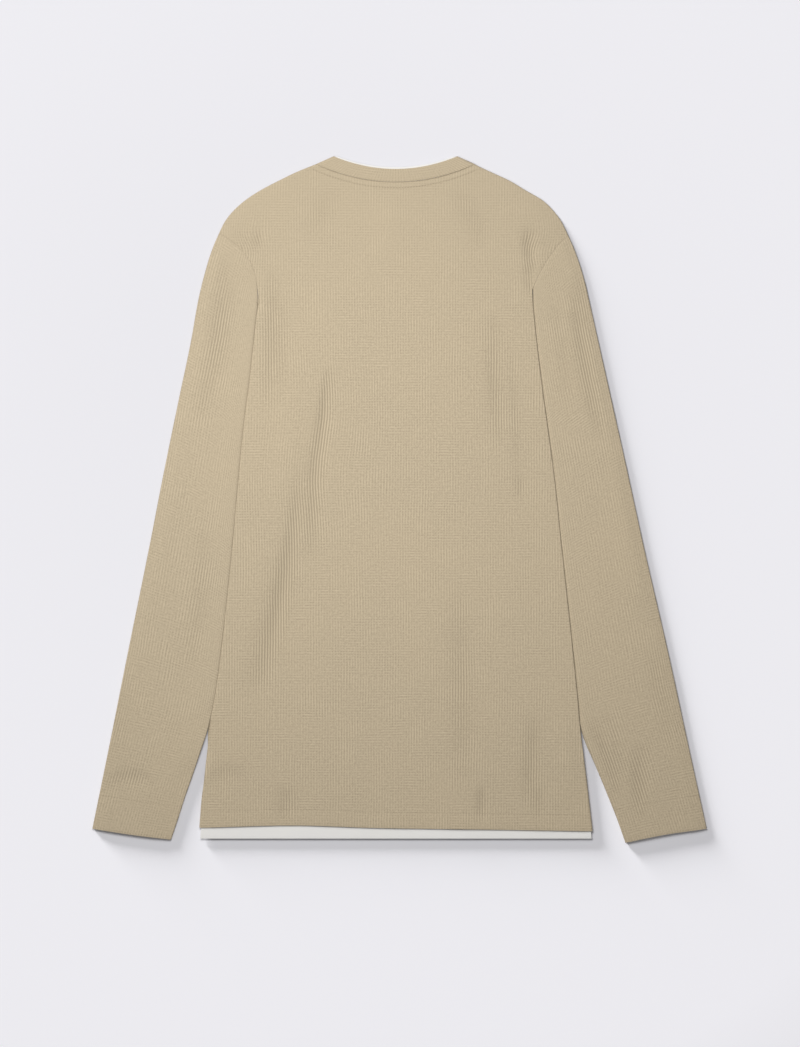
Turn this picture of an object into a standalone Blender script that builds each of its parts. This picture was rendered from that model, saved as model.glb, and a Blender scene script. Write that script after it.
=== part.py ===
"""Crew neck sweater in waffle knit with long sleeves, lying flat with its back up.

Lengths are millimetres, turned to metres where a mesh is made. X runs across the garment,
Y from the hem to the neck and Z up. The origin is on the floor, under the middle of the
garment's box. "Left" is the wearer's left, at -X.

The garment is two layers of cloth that meet along every outer edge, in a fold or in a
seam. Each piece is first laid out as a grid of points in X and Y. Its Edge objects and
lie() then give every point its height and the way its cloth faces, and wall() gives the
cloth its thickness. Where a sleeve and the body's side lie on each other, the edge below
is pressed flat and the edge above is lifted over it.
"""

from typing import NamedTuple

import bmesh
import bpy
import numpy as np

METRES = 0.001

# Cloth and the space that it takes up
CLOTH = 1.5  # waffle knit
BAND_CLOTH = 1.8  # neckband, folded double
UNDER_CLOTH = 1.0  # jersey of the mock under-layer
SEAM = 0.3  # clear gap between neighbouring pieces
HOLLOW = 2.9  # clear height between the back and the front
CUFF_HOLLOW = 2.1  # the same inside a cuff
LAP = 5.0  # how far the edge on top reaches over the edge below
LAP_START = 24.0  # length over which a lap grows from nothing
FOLD_START = 15.0  # length over which a side closes below the armhole
UNLAPPED_BY = 55.0  # how far below the apex both edges lie loose again
UNLAPPED_OVER = 40.0

# Neck
NECK_MIDDLE = -4.3
EDGE_HALF_WIDTH = 66.8  # of the neckband's free edge
SEAM_HALF_WIDTH = 85.5  # of the seam between the neckband and the panels
NECK_POINT_Y = 368.0
SEAM_POINT_Y = 359.6
BACK_EDGE_Y = 354.2  # lowest place of the free edge at the back
BACK_SEAM_Y = 340.4
FRONT_EDGE_Y = 293.0  # the front neckline is hidden in the photo
FRONT_SEAM_Y = 278.5
BACK_NECK_POWER = 2.0  # 2 is a parabola; more is squarer
FRONT_NECK_POWER = 2.6
NECK_FOLD_SINE = 0.72  # sine of the angle between the neckline and the fold at its ends
UNDER_NECK_SHOWS = 1.7
UNDER_NECK_DEPTH = 9.0

# Hem
HEM_SHOWS_TO_Y = -363.6  # lower edge of the under-layer's strip
HEM_STRIP_TOP_Y = -322.0
HEM_STRIP_INSET = CLOTH + 0.7 + UNDER_CLOTH / 2  # from the side of the body

# Half heights, from the middle of one layer's cloth to halfway up to the other layer
OPEN_HALF = (CLOTH + HOLLOW) / 2
CUFF_HALF = (CLOTH + CUFF_HOLLOW) / 2
BAND_HALF = OPEN_HALF + 0.15
UNDER_HALF = (UNDER_CLOTH + SEAM) / 2
PRESSED_HALF = (CLOTH + SEAM) / 2
OVER = 2 * (CLOTH + SEAM)  # how far an edge is lifted to lie on another

# Mesh
LAPPED_ROWS = np.arange(-335.0, -180.0, 17.0)  # where the sides part from the sleeves
LONG_ROWS = np.arange(-150.0, 151.0, 43.0)
UNDERARM_ROWS = np.array([185.5, 197.5, 209.5, 214.5, 219.5, 224.5])
BODY_ROWS = np.concatenate([LAPPED_ROWS, LONG_ROWS, UNDERARM_ROWS])
BELOW_HEM = -380.0  # the lines of the body's sides are drawn on down to here
SIDE_REACH = 0.36  # share of a panel's width over which its rows feel the shape of its sides
TIP_STEPS = (2.9, 0.85)  # rows below an armhole's tip, where the shoulder rolls over
OUTLINE_POINTS = 40
SIDE_POINTS = 90
SLEEVE_INNER_POINTS = 60
SLEEVE_RINGS = 22
SLEEVE_CROWDING = 1.15  # above 1, the rings stand closer together near the armhole
SLEEVE_LENGTH = 560.0  # from the underarm down to the cuff
SLEEVE_BELOW_SEAM = 0.5
STRIP_COLUMNS = 16
STRIP_ROWS = 4
ROLL_ANGLES = np.radians([0, 45, 90])
NECK_ANGLES = np.radians(np.arange(-75, 76, 15))
NECK_GAP_AT_ENDS = 0.6  # how much wider the gap at the neck seam is there
FLAT_BESIDE_LAP = 1.0
RAMP = 6.0
SLOPE_STEP = 0.5  # half the distance over which slopes are measured
SHARP_ANGLE = np.radians(40)
COLOURS = {"knit": (0.46, 0.36, 0.235), "jersey": (0.72, 0.70, 0.64)}


class OutlineRow(NamedTuple):
    """The outer edges of the garment at one height: shoulders first, then sleeves."""

    y: float
    left: float
    right: float


OUTLINE = (
    OutlineRow(368.0, -71.1, 62.5),
    OutlineRow(359.6, -90.0, 80.0),
    OutlineRow(351.0, -111.0, 98.5),
    OutlineRow(342.5, -128.5, 117.0),
    OutlineRow(331.5, -149.5, 135.5),
    OutlineRow(321.0, -165.5, 153.5),
    OutlineRow(310.0, -178.0, 165.0),
    OutlineRow(299.5, -186.5, 173.0),
    OutlineRow(288.5, -192.3, 178.5),
    OutlineRow(267.5, -201.3, 188.0),
    OutlineRow(235.0, -211.0, 198.5),
    OutlineRow(213.5, -216.0, 203.5),
    OutlineRow(171.0, -223.5, 213.0),
    OutlineRow(106.5, -237.0, 227.5),
    OutlineRow(21.0, -254.5, 246.5),
    OutlineRow(-43.5, -267.0, 260.5),
    OutlineRow(-172.0, -293.0, 290.0),
    OutlineRow(-257.5, -310.0, 308.5),
    OutlineRow(-353.0, -329.5, 329.5),
)


class InnerRow(NamedTuple):
    """The sleeves' inner edges and the body's sides at one height. Where two of them lie
    on each other, both columns give the edge on top."""

    y: float
    left_sleeve: float
    left_body: float
    right_body: float
    right_sleeve: float


APEX_Y = -248.5  # where the sleeves part from the body
INNER = (
    InnerRow(224.5, -152.1, -152.1, 142.5, 142.5),
    InnerRow(213.5, -151.6, -151.6, 143.0, 143.0),
    InnerRow(187.0, -154.3, -154.3, 145.4, 145.4),
    InnerRow(128.0, -160.7, -160.7, 152.2, 152.2),
    InnerRow(74.5, -167.5, -167.5, 159.4, 159.4),
    InnerRow(21.0, -172.7, -172.7, 166.5, 166.5),
    InnerRow(-43.5, -178.5, -178.5, 173.2, 173.2),
    InnerRow(-107.5, -185.0, -185.0, 180.2, 180.2),
    InnerRow(-172.0, -192.3, -192.3, 187.0, 187.0),
    InnerRow(-215.0, -198.7, -198.7, 191.3, 191.3),
    InnerRow(APEX_Y, -206.0, -205.6, 194.2, 194.8),
    InnerRow(-263.0, -210.8, -205.8, 196.0, 200.0),
    InnerRow(-281.0, -216.8, -207.7, 198.4, 208.0),
    InnerRow(-300.5, -223.4, -209.7, 200.9, 216.3),
    InnerRow(-322.0, -230.9, -212.5, 203.4, 225.0),
    InnerRow(-343.5, -237.7, -214.2, 205.9, 233.5),
    InnerRow(-368.0, -246.0, -216.0, 208.8, 242.1),
)


class Station(NamedTuple):
    """A point that a line passes through."""

    x: float
    y: float


LEFT_ARMHOLE = (
    Station(-193.5, 286.0),
    Station(-180.5, 277.0),
    Station(-172.0, 270.0),
    Station(-164.5, 262.0),
    Station(-158.5, 251.5),
    Station(-154.5, 239.0),
    Station(-152.1, 224.5),
)
RIGHT_ARMHOLE = (
    Station(181.0, 282.5),
    Station(174.0, 277.0),
    Station(167.5, 269.5),
    Station(160.0, 259.0),
    Station(152.5, 246.5),
    Station(147.0, 236.0),
    Station(142.5, 224.5),
)
HEM = (
    Station(-215.0, -351.8),
    Station(-109.0, -349.4),
    Station(-27.0, -352.0),
    Station(97.0, -353.8),
    Station(208.0, -355.6),
)
LEFT_CUFF = (Station(-329.5, -353.0), Station(-287.0, -359.5), Station(-244.8, -364.8))
RIGHT_CUFF = (Station(329.5, -353.0), Station(285.0, -359.3), Station(242.1, -368.0))


class Crease(NamedTuple):
    """A soft trough (depth below 0) or ridge along a bowed line."""

    x0: float
    y0: float
    x1: float
    y1: float
    bow: float
    width: float
    depth: float


BACK_CREASES = (
    Crease(-74.0, 142.0, -98.0, -66.0, 4.0, 10.0, -0.9),
    Crease(-109.0, 34.0, -154.0, -206.0, -6.0, 11.0, -1.0),
    Crease(-116.0, 122.0, -130.0, -30.0, 3.0, 15.0, 0.6),
    Crease(-136.0, 250.0, -142.0, 92.0, 3.0, 9.0, -0.6),
    Crease(102.0, 205.0, 110.0, 52.0, -3.0, 10.0, -0.5),
    Crease(176.0, -190.0, 186.0, -320.0, 3.0, 12.0, 0.5),
    Crease(146.0, -232.0, 142.0, -334.0, -2.0, 10.0, -0.5),
)
LEFT_SLEEVE_CREASES = (
    Crease(-188.0, 262.0, -214.0, 78.0, 6.0, 10.0, -0.6),
    Crease(-232.0, 60.0, -262.0, -140.0, -5.0, 14.0, 0.4),
    Crease(-318.0, -304.0, -262.0, -304.0, 6.0, 9.0, -0.5),
)
RIGHT_SLEEVE_CREASES = (
    Crease(190.0, 244.0, 220.0, 62.0, -5.0, 10.0, -0.6),
    Crease(214.0, -246.0, 236.0, -318.0, 4.0, 9.0, -0.5),
    Crease(258.0, -262.0, 262.0, -344.0, -3.0, 9.0, -0.5),
)


def smooth(value):
    """0 up to 0, 1 from 1, and a soft rise between."""
    held = np.clip(value, 0.0, 1.0)
    return held * held * (3.0 - 2.0 * held)


def mix(a, b, share):
    """a at share 0, b at share 1."""
    return a + (b - a) * share


def unit(vectors):
    """Vectors of length 1."""
    return vectors / np.linalg.norm(vectors, axis=-1, keepdims=True)


def curve_at(places, values, at):
    """A soft curve through values at rising places, straight beyond both ends."""
    places, values = np.asarray(places, float), np.asarray(values, float)
    steps = np.diff(values) / np.diff(places)
    slopes = np.concatenate([steps[:1], (steps[1:] + steps[:-1]) / 2, steps[-1:]])
    at = np.asarray(at, float)
    row = np.clip(np.searchsorted(places, at) - 1, 0, len(places) - 2)
    span = places[row + 1] - places[row]
    t = (at - places[row]) / span
    held = np.clip(t, 0, 1)
    curve = (
        (1 + 2 * held) * (1 - held) ** 2 * values[row]
        + held * (1 - held) ** 2 * span * slopes[row]
        + held**2 * (3 - 2 * held) * values[row + 1]
        + held**2 * (held - 1) * span * slopes[row + 1]
    )
    beyond = (t - held) * span
    return curve + beyond * np.where(t < 0, slopes[0], slopes[-1])


def column(rows, name, at):
    """A table's column as a curve over y."""
    ordered = sorted(rows, key=lambda row: row.y)
    return curve_at([row.y for row in ordered], [getattr(row, name) for row in ordered], at)


def along(path, shares):
    """Points at shares of a polyline's length."""
    path = np.asarray(path, float)
    lengths = np.concatenate([[0], np.cumsum(np.linalg.norm(np.diff(path, axis=0), axis=1))])
    at = np.clip(shares, 0, 1) * lengths[-1]
    return np.stack([np.interp(at, lengths, path[:, axis]) for axis in (0, 1)], axis=-1)


def normals_of(path):
    """The unit normals of a polyline at its points, to the left of the way it runs."""
    path = np.asarray(path, float)
    sides = unit(np.diff(path, axis=0))
    ends = unit(np.concatenate([sides[:1], sides[1:] + sides[:-1], sides[-1:]]))
    return np.stack([-ends[:, 1], ends[:, 0]], axis=-1)


class Edge:
    """An outer edge of a flat piece, where its upper and lower cloth meet.

    path is the edge of the middle of the cloth, with the garment on its right. At each of
    its points, closed says how far the layers come together (0 is an open seam), half is
    their half height there, lift is how far the lower one is off the floor, and flat is
    how far in from the edge this holds.
    """

    def __init__(self, path, closed=1.0, half=OPEN_HALF, lift=0.0, flat=0.0):
        self.path = np.asarray(path, float)
        self.normals = normals_of(self.path)
        count = len(self.path)
        self.closed, self.half, self.lift, self.flat = (
            np.broadcast_to(value, count) for value in (closed, half, lift, flat)
        )

    def near(self, points):
        """For each point: its distance, the edge's outward normal and its values there."""
        start, step = self.path[:-1], np.diff(self.path, axis=0)
        share = np.einsum("psk,sk->ps", points[:, None] - start, step)
        share = np.clip(share / (step**2).sum(axis=1), 0, 1)
        gaps = np.linalg.norm(points[:, None] - start - share[..., None] * step, axis=-1)
        nearest = gaps.argmin(axis=1)
        rows = np.arange(len(points))
        share = share[rows, nearest]

        def read(values):
            weight = share[:, None] if values.ndim > 1 else share
            return mix(values[nearest], values[nearest + 1], weight)

        values = [read(value) for value in (self.closed, self.half, self.lift, self.flat)]
        return gaps[rows, nearest], unit(read(self.normals)), *values

    def onto(self, points):
        """The points moved to the edge's path along its normals there."""
        gap, normal, *_ = self.near(points)
        moved = points + normal * gap[:, None]
        back = points - normal * gap[:, None]
        return np.where((self.near(moved)[0] < self.near(back)[0])[:, None], moved, back)


def relief(points, creases):
    """The height that creases add at each point."""
    height = np.zeros(len(points))
    for crease in creases:
        start = np.array([crease.x0, crease.y0])
        line = np.array([crease.x1, crease.y1]) - start
        length = np.linalg.norm(line)
        share = (points - start) @ line / length**2
        side = (points - start) @ np.array([-line[1], line[0]]) / length
        held = np.clip(share, 0, 1)
        side = side - crease.bow * 4 * held * (1 - held)
        height += crease.depth * np.exp(-((side / crease.width) ** 2)) * np.sin(np.pi * held) ** 0.8
    return height


def heights(points, edges, half, creases):
    """Half height and lift at each point, before the edges are rolled over."""
    half = half(points) if callable(half) else np.full(len(points), half)
    lift = np.zeros(len(points))
    free = np.ones(len(points))
    for edge in edges:
        gap, _, closed, edge_half, edge_lift, flat = edge.near(points)
        inside = smooth((gap - flat) / RAMP)
        half = mix(edge_half, half, inside)
        lift = mix(edge_lift, lift, inside)
        free = free * mix(1.0, smooth((gap - flat) / (2 * RAMP)), closed)
    return half + relief(points, creases) * free / 2, lift


def lie(points, edges, upper, half=OPEN_HALF, floor=CLOTH / 2, creases=()):
    """The places of the upper or lower cloth over points, and the way it faces out."""
    points = np.asarray(points, float).reshape(-1, 2)
    roll = np.ones(len(points))
    outward = np.zeros((len(points), 2))
    for edge in edges:
        gap, normal, closed, edge_half, _, _ = edge.near(points)
        cosine = np.clip(1 - gap / edge_half, 0, 1)
        roll = roll * (1 - closed * (1 - np.sqrt(1 - cosine**2)))
        outward += normal * (closed * cosine)[:, None]

    def flat_height(at):
        half_height, lift = heights(at, edges, half, creases)
        return floor + lift + 2 * half_height * upper

    east, north = np.array([SLOPE_STEP, 0.0]), np.array([0.0, SLOPE_STEP])
    slope_x = (flat_height(points + east) - flat_height(points - east)) / (2 * SLOPE_STEP)
    slope_y = (flat_height(points + north) - flat_height(points - north)) / (2 * SLOPE_STEP)
    half_height, lift = heights(points, edges, half, creases)
    sign = 1.0 if upper else -1.0
    z = floor + lift + half_height * (1 + sign * roll)
    facing = np.stack([-slope_x, -slope_y, np.ones(len(points))], axis=-1) * sign
    facing = unit(facing) * roll[:, None]
    facing[:, :2] += outward
    return np.column_stack([points, z]), unit(facing)


def wall(name, places, facing, thickness, slot, ring=False):
    """A wall of cloth round a grid of middle points, as an object of its own.

    places and facing are (rows, columns, 3). In a ring, the last column meets the first.
    """
    rows, columns = places.shape[:2]
    outer = places + facing * thickness / 2
    inner = places - facing * thickness / 2
    mesh = bmesh.new()
    skins = [
        [[mesh.verts.new(point * METRES) for point in row] for row in skin]
        for skin in (outer, inner)
    ]
    reach = columns if ring else columns - 1

    def quad(*corners):
        mesh.faces.new([skins[skin][row][column % columns] for skin, row, column in corners])

    for row in range(rows - 1):
        above = row + 1
        for cell in range(reach):
            for skin in (0, 1):
                quad((skin, row, cell), (skin, row, cell + 1), (skin, above, cell + 1), (skin, above, cell))
        if not ring:
            for cell in (0, columns - 1):
                quad((0, row, cell), (0, above, cell), (1, above, cell), (1, row, cell))
    for cell in range(reach):
        for row in (0, rows - 1):
            quad((0, row, cell), (0, row, cell + 1), (1, row, cell + 1), (1, row, cell))
    bmesh.ops.recalc_face_normals(mesh, faces=mesh.faces)
    data = bpy.data.meshes.new(name)
    mesh.to_mesh(data)
    mesh.free()
    data.shade_smooth()
    data.set_sharp_from_angle(angle=SHARP_ANGLE)
    data.materials.append(cloth_material(slot))
    made = bpy.data.objects.new(name, data)
    bpy.context.scene.collection.objects.link(made)
    return made


def cloth_material(slot):
    """The plain material of a cloth, made once."""
    found = bpy.data.materials.get(slot)
    if found:
        return found
    material = bpy.data.materials.new(slot)
    material.use_nodes = True
    shader = material.node_tree.nodes["Principled BSDF"]
    shader.inputs["Base Color"].default_value = (*COLOURS[slot], 1.0)
    shader.inputs["Roughness"].default_value = 0.95
    shader.inputs["Metallic"].default_value = 0.0
    return material


class Side:
    """The lines of one side of the garment, all as arrays of points from top to bottom.

    sign is -1 on the wearer's left and 1 on the right. body_on_top says which edge of the
    lapped pair lies above.
    """

    def __init__(self, name, sign, armhole, cuff, creases, body_on_top):
        self.name = name
        self.sign = sign
        self.armhole = np.array(armhole, float)
        self.cuff = np.array(cuff, float)
        self.creases = creases
        self.body_on_top = body_on_top

    def order(self, path):
        """A line that runs down, turned so that the garment is on its right."""
        return path if self.sign > 0 else path[::-1]

    def moved_in(self, path, distance, inward):
        """A path that runs down, moved towards +X (inward 1) or -X (inward -1)."""
        return np.asarray(path, float) + normals_of(path) * np.reshape(distance, (-1, 1)) * inward

    def outline(self, top, bottom, distance):
        """The outer edge between two heights, moved in by distance."""
        ys = np.linspace(top, bottom, OUTLINE_POINTS)
        path = np.column_stack([column(OUTLINE, self.name, ys), ys])
        return self.moved_in(path, distance, -self.sign)

    def shoulder(self, distance):
        """The outer edge from the neck point down to the armhole."""
        return self.outline(NECK_POINT_Y, self.armhole[0, 1], distance)

    def sleeve_outer(self, distance):
        """The outer edge from the armhole down to the cuff."""
        return self.outline(self.armhole[0, 1], self.cuff[0, 1], distance)

    def lapped(self, ys):
        """1 where one edge lies on the other, 0 well away from there."""
        top = self.armhole[-1, 1]
        return smooth((top - ys) / FOLD_START) * smooth((ys - APEX_Y + UNLAPPED_BY) / UNLAPPED_OVER)

    def lap(self, ys):
        """How far the edge below reaches under the edge on top."""
        top = self.armhole[-1, 1] - FOLD_START
        grown = smooth((top - ys) / LAP_START) * smooth((ys - APEX_Y) / LAP_START)
        return LAP * grown

    def edge_values(self, ys, on_top):
        """The half height, lift and flat width of the edge on top, or below."""
        lapped = self.lapped(ys)
        half = mix(OPEN_HALF, PRESSED_HALF, lapped)
        flat = self.lap(ys) + FLAT_BESIDE_LAP * lapped
        return {"half": half, "lift": OVER * lapped * on_top, "flat": flat}

    def inner_line(self, piece, ys):
        """X of the sleeve's inner edge or of the body's side."""
        on_top = self.body_on_top == (piece == "body")
        hidden = 0.0 if on_top else self.lap(ys)
        way = self.sign if piece == "body" else -self.sign
        return column(INNER, f"{self.name}_{piece}", ys) + way * (hidden - SEAM / 2)

    def body_side(self, ys):
        """The body's side below the armhole, as the middle of its cloth."""
        closed = smooth((self.armhole[-1, 1] - ys) / FOLD_START)
        x = self.inner_line("body", ys) - self.sign * closed * CLOTH / 2
        path = np.column_stack([x, ys])
        return path, closed

    def sleeve_inner(self, ys):
        """The sleeve's inner edge, as the middle of its cloth."""
        x = self.inner_line("sleeve", ys) + self.sign * CLOTH / 2
        return np.column_stack([x, ys])


LEFT = Side("left", -1, LEFT_ARMHOLE, LEFT_CUFF, LEFT_SLEEVE_CREASES, body_on_top=False)
RIGHT = Side("right", 1, RIGHT_ARMHOLE, RIGHT_CUFF, RIGHT_SLEEVE_CREASES, body_on_top=True)


def patch(bottom, top, left, right, u, v, reach=1.0):
    """Points inside four lines. u and v are grids of shares. bottom and top are functions
    of u, left and right are rows of points at v, and reach is how far in both are felt."""
    low, high = bottom(u), top(u)
    left, right = left[:, None], right[:, None]
    u, v = u[..., None], v[..., None]
    left_bow = left - mix(left[:1], left[-1:], v)
    right_bow = right - mix(right[:1], right[-1:], v)
    inside = smooth(1 - u / reach) * left_bow + smooth(1 - (1 - u) / reach) * right_bow
    return mix(low, high, v) + inside


def neck_curve(half_width, end_y, middle_y, power, distance, shares):
    """The neckline at shares from -1 to 1, trimmed where it is distance from the outline."""
    t = np.asarray(shares) * (1 - distance / (half_width * NECK_FOLD_SINE))
    return np.column_stack([NECK_MIDDLE + half_width * t, middle_y + (end_y - middle_y) * np.abs(t) ** power])


def neck_shares():
    """Stations along a neckline, close together where it rolls over the fold."""
    roll = OPEN_HALF * (1 - np.cos(ROLL_ANGLES))
    end = 1 - roll / (SEAM_HALF_WIDTH * NECK_FOLD_SINE)
    middle = np.sin(NECK_ANGLES) * end[-1]
    return np.concatenate([-end, middle, end[::-1]])


def neck_gap(shares):
    """Half the seam's gap, measured along the band, which meets the seam aslant at its ends."""
    return SEAM / 2 * (1 + NECK_GAP_AT_ENDS * np.abs(shares) ** 8)


def neck_lines(front):
    """The free edge and the seam of the neckline, as settings for neck_curve."""
    if front:
        edge = (EDGE_HALF_WIDTH, NECK_POINT_Y, FRONT_EDGE_Y, FRONT_NECK_POWER)
        return edge, (SEAM_HALF_WIDTH, SEAM_POINT_Y, FRONT_SEAM_Y, FRONT_NECK_POWER)
    edge = (EDGE_HALF_WIDTH, NECK_POINT_Y, BACK_EDGE_Y, BACK_NECK_POWER)
    return edge, (SEAM_HALF_WIDTH, SEAM_POINT_Y, BACK_SEAM_Y, BACK_NECK_POWER)


def across_neck(front, distance, shares, reach):
    """Points beside the neckline: reach is measured from the seam towards the free edge."""
    edge, seam = neck_lines(front)
    start = neck_curve(*seam, distance, shares)
    way = unit(neck_curve(*edge, distance, shares) - start)
    return start + way * np.reshape(reach, (-1, 1))


def shoulder_edges(distance):
    """The folds over both shoulders, lengthened past the neck points."""
    edges = []
    for side in (LEFT, RIGHT):
        path = side.shoulder(distance)
        beyond = path[0] + (path[0] - path[6]) * 2
        edges.append(Edge(side.order(np.concatenate([[beyond], path]))))
    return edges


def body_edges():
    """The folds and seams round both panels."""
    edges = shoulder_edges(CLOTH / 2)
    for side in (LEFT, RIGHT):
        ys = np.linspace(side.armhole[-1, 1], BELOW_HEM, SIDE_POINTS)
        path, closed = side.body_side(ys)
        values = side.edge_values(ys, side.body_on_top)
        values = {name: side.order(value) for name, value in values.items()}
        edges.append(Edge(side.order(path), closed=side.order(closed), **values))
    return edges


def panel_side(side):
    """A panel's side from the hem up to the armhole's tip."""
    hem_at = side.inner_line("body", np.array([HEM_SHOWS_TO_Y]))
    hem_y = np.interp(hem_at, *np.array(HEM, float).T)
    low, _ = side.body_side(np.concatenate([hem_y, BODY_ROWS]))
    seam = side.moved_in(side.armhole, SEAM / 2, -side.sign)
    tip = side.shoulder(CLOTH / 2)[-1] - [side.sign * SEAM / 2, 0.0]
    way = unit(seam[1] - tip)
    rolled = [tip + way * step for step in TIP_STEPS]
    return np.concatenate([low[:-1], seam[:0:-1], rolled, [tip]])


def panel_top(front, left, right):
    """A panel's upper line from the left tip to the right one, the share of the way
    across at each of its points, and the shares at the neckline's stations."""
    shares = neck_shares()
    neckline = across_neck(front, CLOTH / 2, shares, -neck_gap(shares))
    shoulders = LEFT.shoulder(CLOTH / 2)[::-1], RIGHT.shoulder(CLOTH / 2)
    before = shoulders[0][shoulders[0][:, 0] < neckline[0, 0] - 1.0]
    after = shoulders[1][shoulders[1][:, 0] > neckline[-1, 0] + 1.0]
    path = np.concatenate([left[-1:], before[1:], neckline, after[:-1], right[-1:]])
    across = (path[:, 0] - path[0, 0]) / (path[-1, 0] - path[0, 0])
    return path, across, np.interp(neckline[:, 0], path[:, 0], across)


def panel(name, front, shoulder_columns):
    """The back or the front: from the hem up the sides to the armholes, along the
    shoulders and round the neckline."""
    left, right = (panel_side(side) for side in (LEFT, RIGHT))
    rise = [(path[:, 1] - path[0, 1]) / (path[-1, 1] - path[0, 1]) for path in (left, right)]
    top_path, top_share, neck_u = panel_top(front, left, right)
    hem = np.array(HEM, float)
    hem_ends = curve_at(*hem.T, np.array([left[0, 0], right[0, 0]]))

    def top(u):
        return np.stack([np.interp(u, top_share, top_path[:, axis]) for axis in (0, 1)], axis=-1)

    def bottom(u):
        x = mix(left[0, 0], right[0, 0], u)
        step = mix(left[0, 1] - hem_ends[0], right[0, 1] - hem_ends[1], u)
        return np.stack([x, curve_at(*hem.T, x) + step], axis=-1)

    u = np.array([panel_columns(ends, neck_u, shoulder_columns) for ends in zip(left, right)])
    v = np.repeat(np.mean(rise, axis=0)[:, None], u.shape[1], axis=1)
    grid = patch(bottom, top, left, right, u, v, SIDE_REACH)
    edges = body_edges()
    places, facing = lie(grid, edges, not front, creases=() if front else BACK_CREASES)
    places[:, 2] += seam_gap(places[:, :2], edges) * (-1 if front else 1)
    shape = (*grid.shape[:2], 3)
    return wall(name, places.reshape(shape), facing.reshape(shape), CLOTH, "knit")


def edge_steps(half, flat):
    """Distances from an edge: round its roll, then across the flat and the ramp."""
    flat = max(flat, half)
    beyond = [flat + 0.2, flat + RAMP / 2, flat + RAMP + 0.5]
    return np.concatenate([half * (1 - np.cos(ROLL_ANGLES)), beyond])


def panel_columns(ends, neck_u, shoulder_columns):
    """Shares across one row of a panel: close together at both edges and through the
    corners of the neckline."""
    steps = []
    for side, point in zip((LEFT, RIGHT), ends):
        values = side.edge_values(point[1:], side.body_on_top)
        steps.append(edge_steps(values["half"][0], values["flat"][0]))
    width = ends[1][0] - ends[0][0]
    left, right = steps[0] / width, 1 - steps[1][::-1] / width
    first = np.linspace(left[-1], neck_u[0], shoulder_columns + 1)[1:-1]
    last = np.linspace(neck_u[-1], right[0], shoulder_columns + 1)[1:-1]
    return np.concatenate([left, first, neck_u, last, right])


def seam_gap(points, edges):
    """How far each panel stands off the middle, so that they don't meet at an edge."""
    off = np.zeros(len(points))
    for edge in edges:
        gap, _, closed, *_ = edge.near(points)
        off = np.maximum(off, closed * smooth(1 - gap / (2 * SEAM)))
    return SEAM / 2 * off


def flat_tube(name, grid, edges, thickness, slot, half, floor, creases=()):
    """A tube laid flat over a grid of points, whose first and last columns are its folds."""
    skins = []
    for upper, part in ((True, grid), (False, grid[:, -2:0:-1])):
        laid = lie(part, edges, upper, half, floor, creases if upper else ())
        skins.append([values.reshape(*part.shape[:2], 3) for values in laid])
    places, facing = (np.concatenate(pair, axis=1) for pair in zip(*skins))
    return wall(name, places, facing, thickness, slot, ring=True)


def sleeve(side):
    """A sleeve: one ring of cloth at each step from the cuff to the armhole."""
    seam = side.moved_in(side.armhole, SEAM / 2, side.sign)
    outer = side.sleeve_outer(CLOTH / 2)
    outer[0, 1] -= SEAM
    top, end = side.armhole[-1, 1] - SLEEVE_BELOW_SEAM, side.cuff[-1, 1]
    ys = np.linspace(top, end, SLEEVE_INNER_POINTS)
    inner = side.sleeve_inner(ys)
    head = np.concatenate([outer[:1], seam[1:-1], inner[:1]])
    cuff = np.concatenate([outer[-1:], side.cuff[1:-1], inner[-1:]])
    v = 1 - (1 - np.linspace(0, 1, SLEEVE_RINGS)) ** SLEEVE_CROWDING
    outer_rows, inner_rows = along(outer, 1 - v), along(inner, 1 - v)

    values = side.edge_values(ys, not side.body_on_top)
    values = {key: side.order(row[::-1]) for key, row in values.items()}
    inner_edge = Edge(side.order(inner[::-1]), **values)
    outer_edge = Edge(side.order(np.concatenate([side.shoulder(CLOTH / 2), outer[1:]])))

    def half(points):
        down = smooth((side.armhole[-1, 1] - points[:, 1]) / SLEEVE_LENGTH)
        return mix(OPEN_HALF, CUFF_HALF, down)

    head_steps = np.linalg.norm(np.diff(head, axis=0), axis=1)
    head_u = np.cumsum(head_steps)[:-1] / head_steps.sum()
    rows = []
    for outer_point, inner_point, share in zip(outer_rows, inner_rows, v):
        width = np.linalg.norm(outer_point - inner_point)
        at_edge = side.edge_values(inner_point[1:], not side.body_on_top)
        start = edge_steps(OPEN_HALF, 0.0)[: len(ROLL_ANGLES)] / width
        end = 1 - edge_steps(at_edge["half"][0], at_edge["flat"][0])[::-1] / width
        even = np.linspace(start[-1], end[0], len(head_u) + 2)[1:-1]
        rows.append(np.concatenate([start, mix(even, head_u, smooth(share * 4 - 3)), end]))
    u = np.array(rows)
    v = np.repeat(v[:, None], u.shape[1], axis=1)
    grid = patch(lambda at: along(cuff, at), lambda at: along(head, at), outer_rows, inner_rows, u, v)
    edges = [outer_edge, inner_edge]
    return flat_tube(f"sleeve_{side.name}", grid, edges, CLOTH, "knit", half, CLOTH / 2, side.creases)


def neck_ring(name, thickness, slot, distance, half, reaches):
    """A band round the neck: over the back's neckline, then back under the front's."""
    shares = neck_shares()
    edges = [Edge(edge.path, half=half) for edge in shoulder_edges(distance)]
    floor = BAND_CLOTH / 2 + BAND_HALF - half
    skins = []
    for front, stations in ((False, shares), (True, shares[-2:0:-1])):
        rows = [across_neck(front, distance, stations, reach) for reach in reaches(front, stations)]
        points = np.stack(rows)
        if not front:
            for edge, end in zip(edges, (0, -1)):
                points[:, end] = edge.onto(points[:, end])
        laid = lie(points, edges, not front, half, floor)
        skins.append([values.reshape(*points.shape[:2], 3) for values in laid])
    places, facing = (np.concatenate(pair, axis=1) for pair in zip(*skins))
    return wall(name, places, facing, thickness, slot, ring=True)


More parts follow.
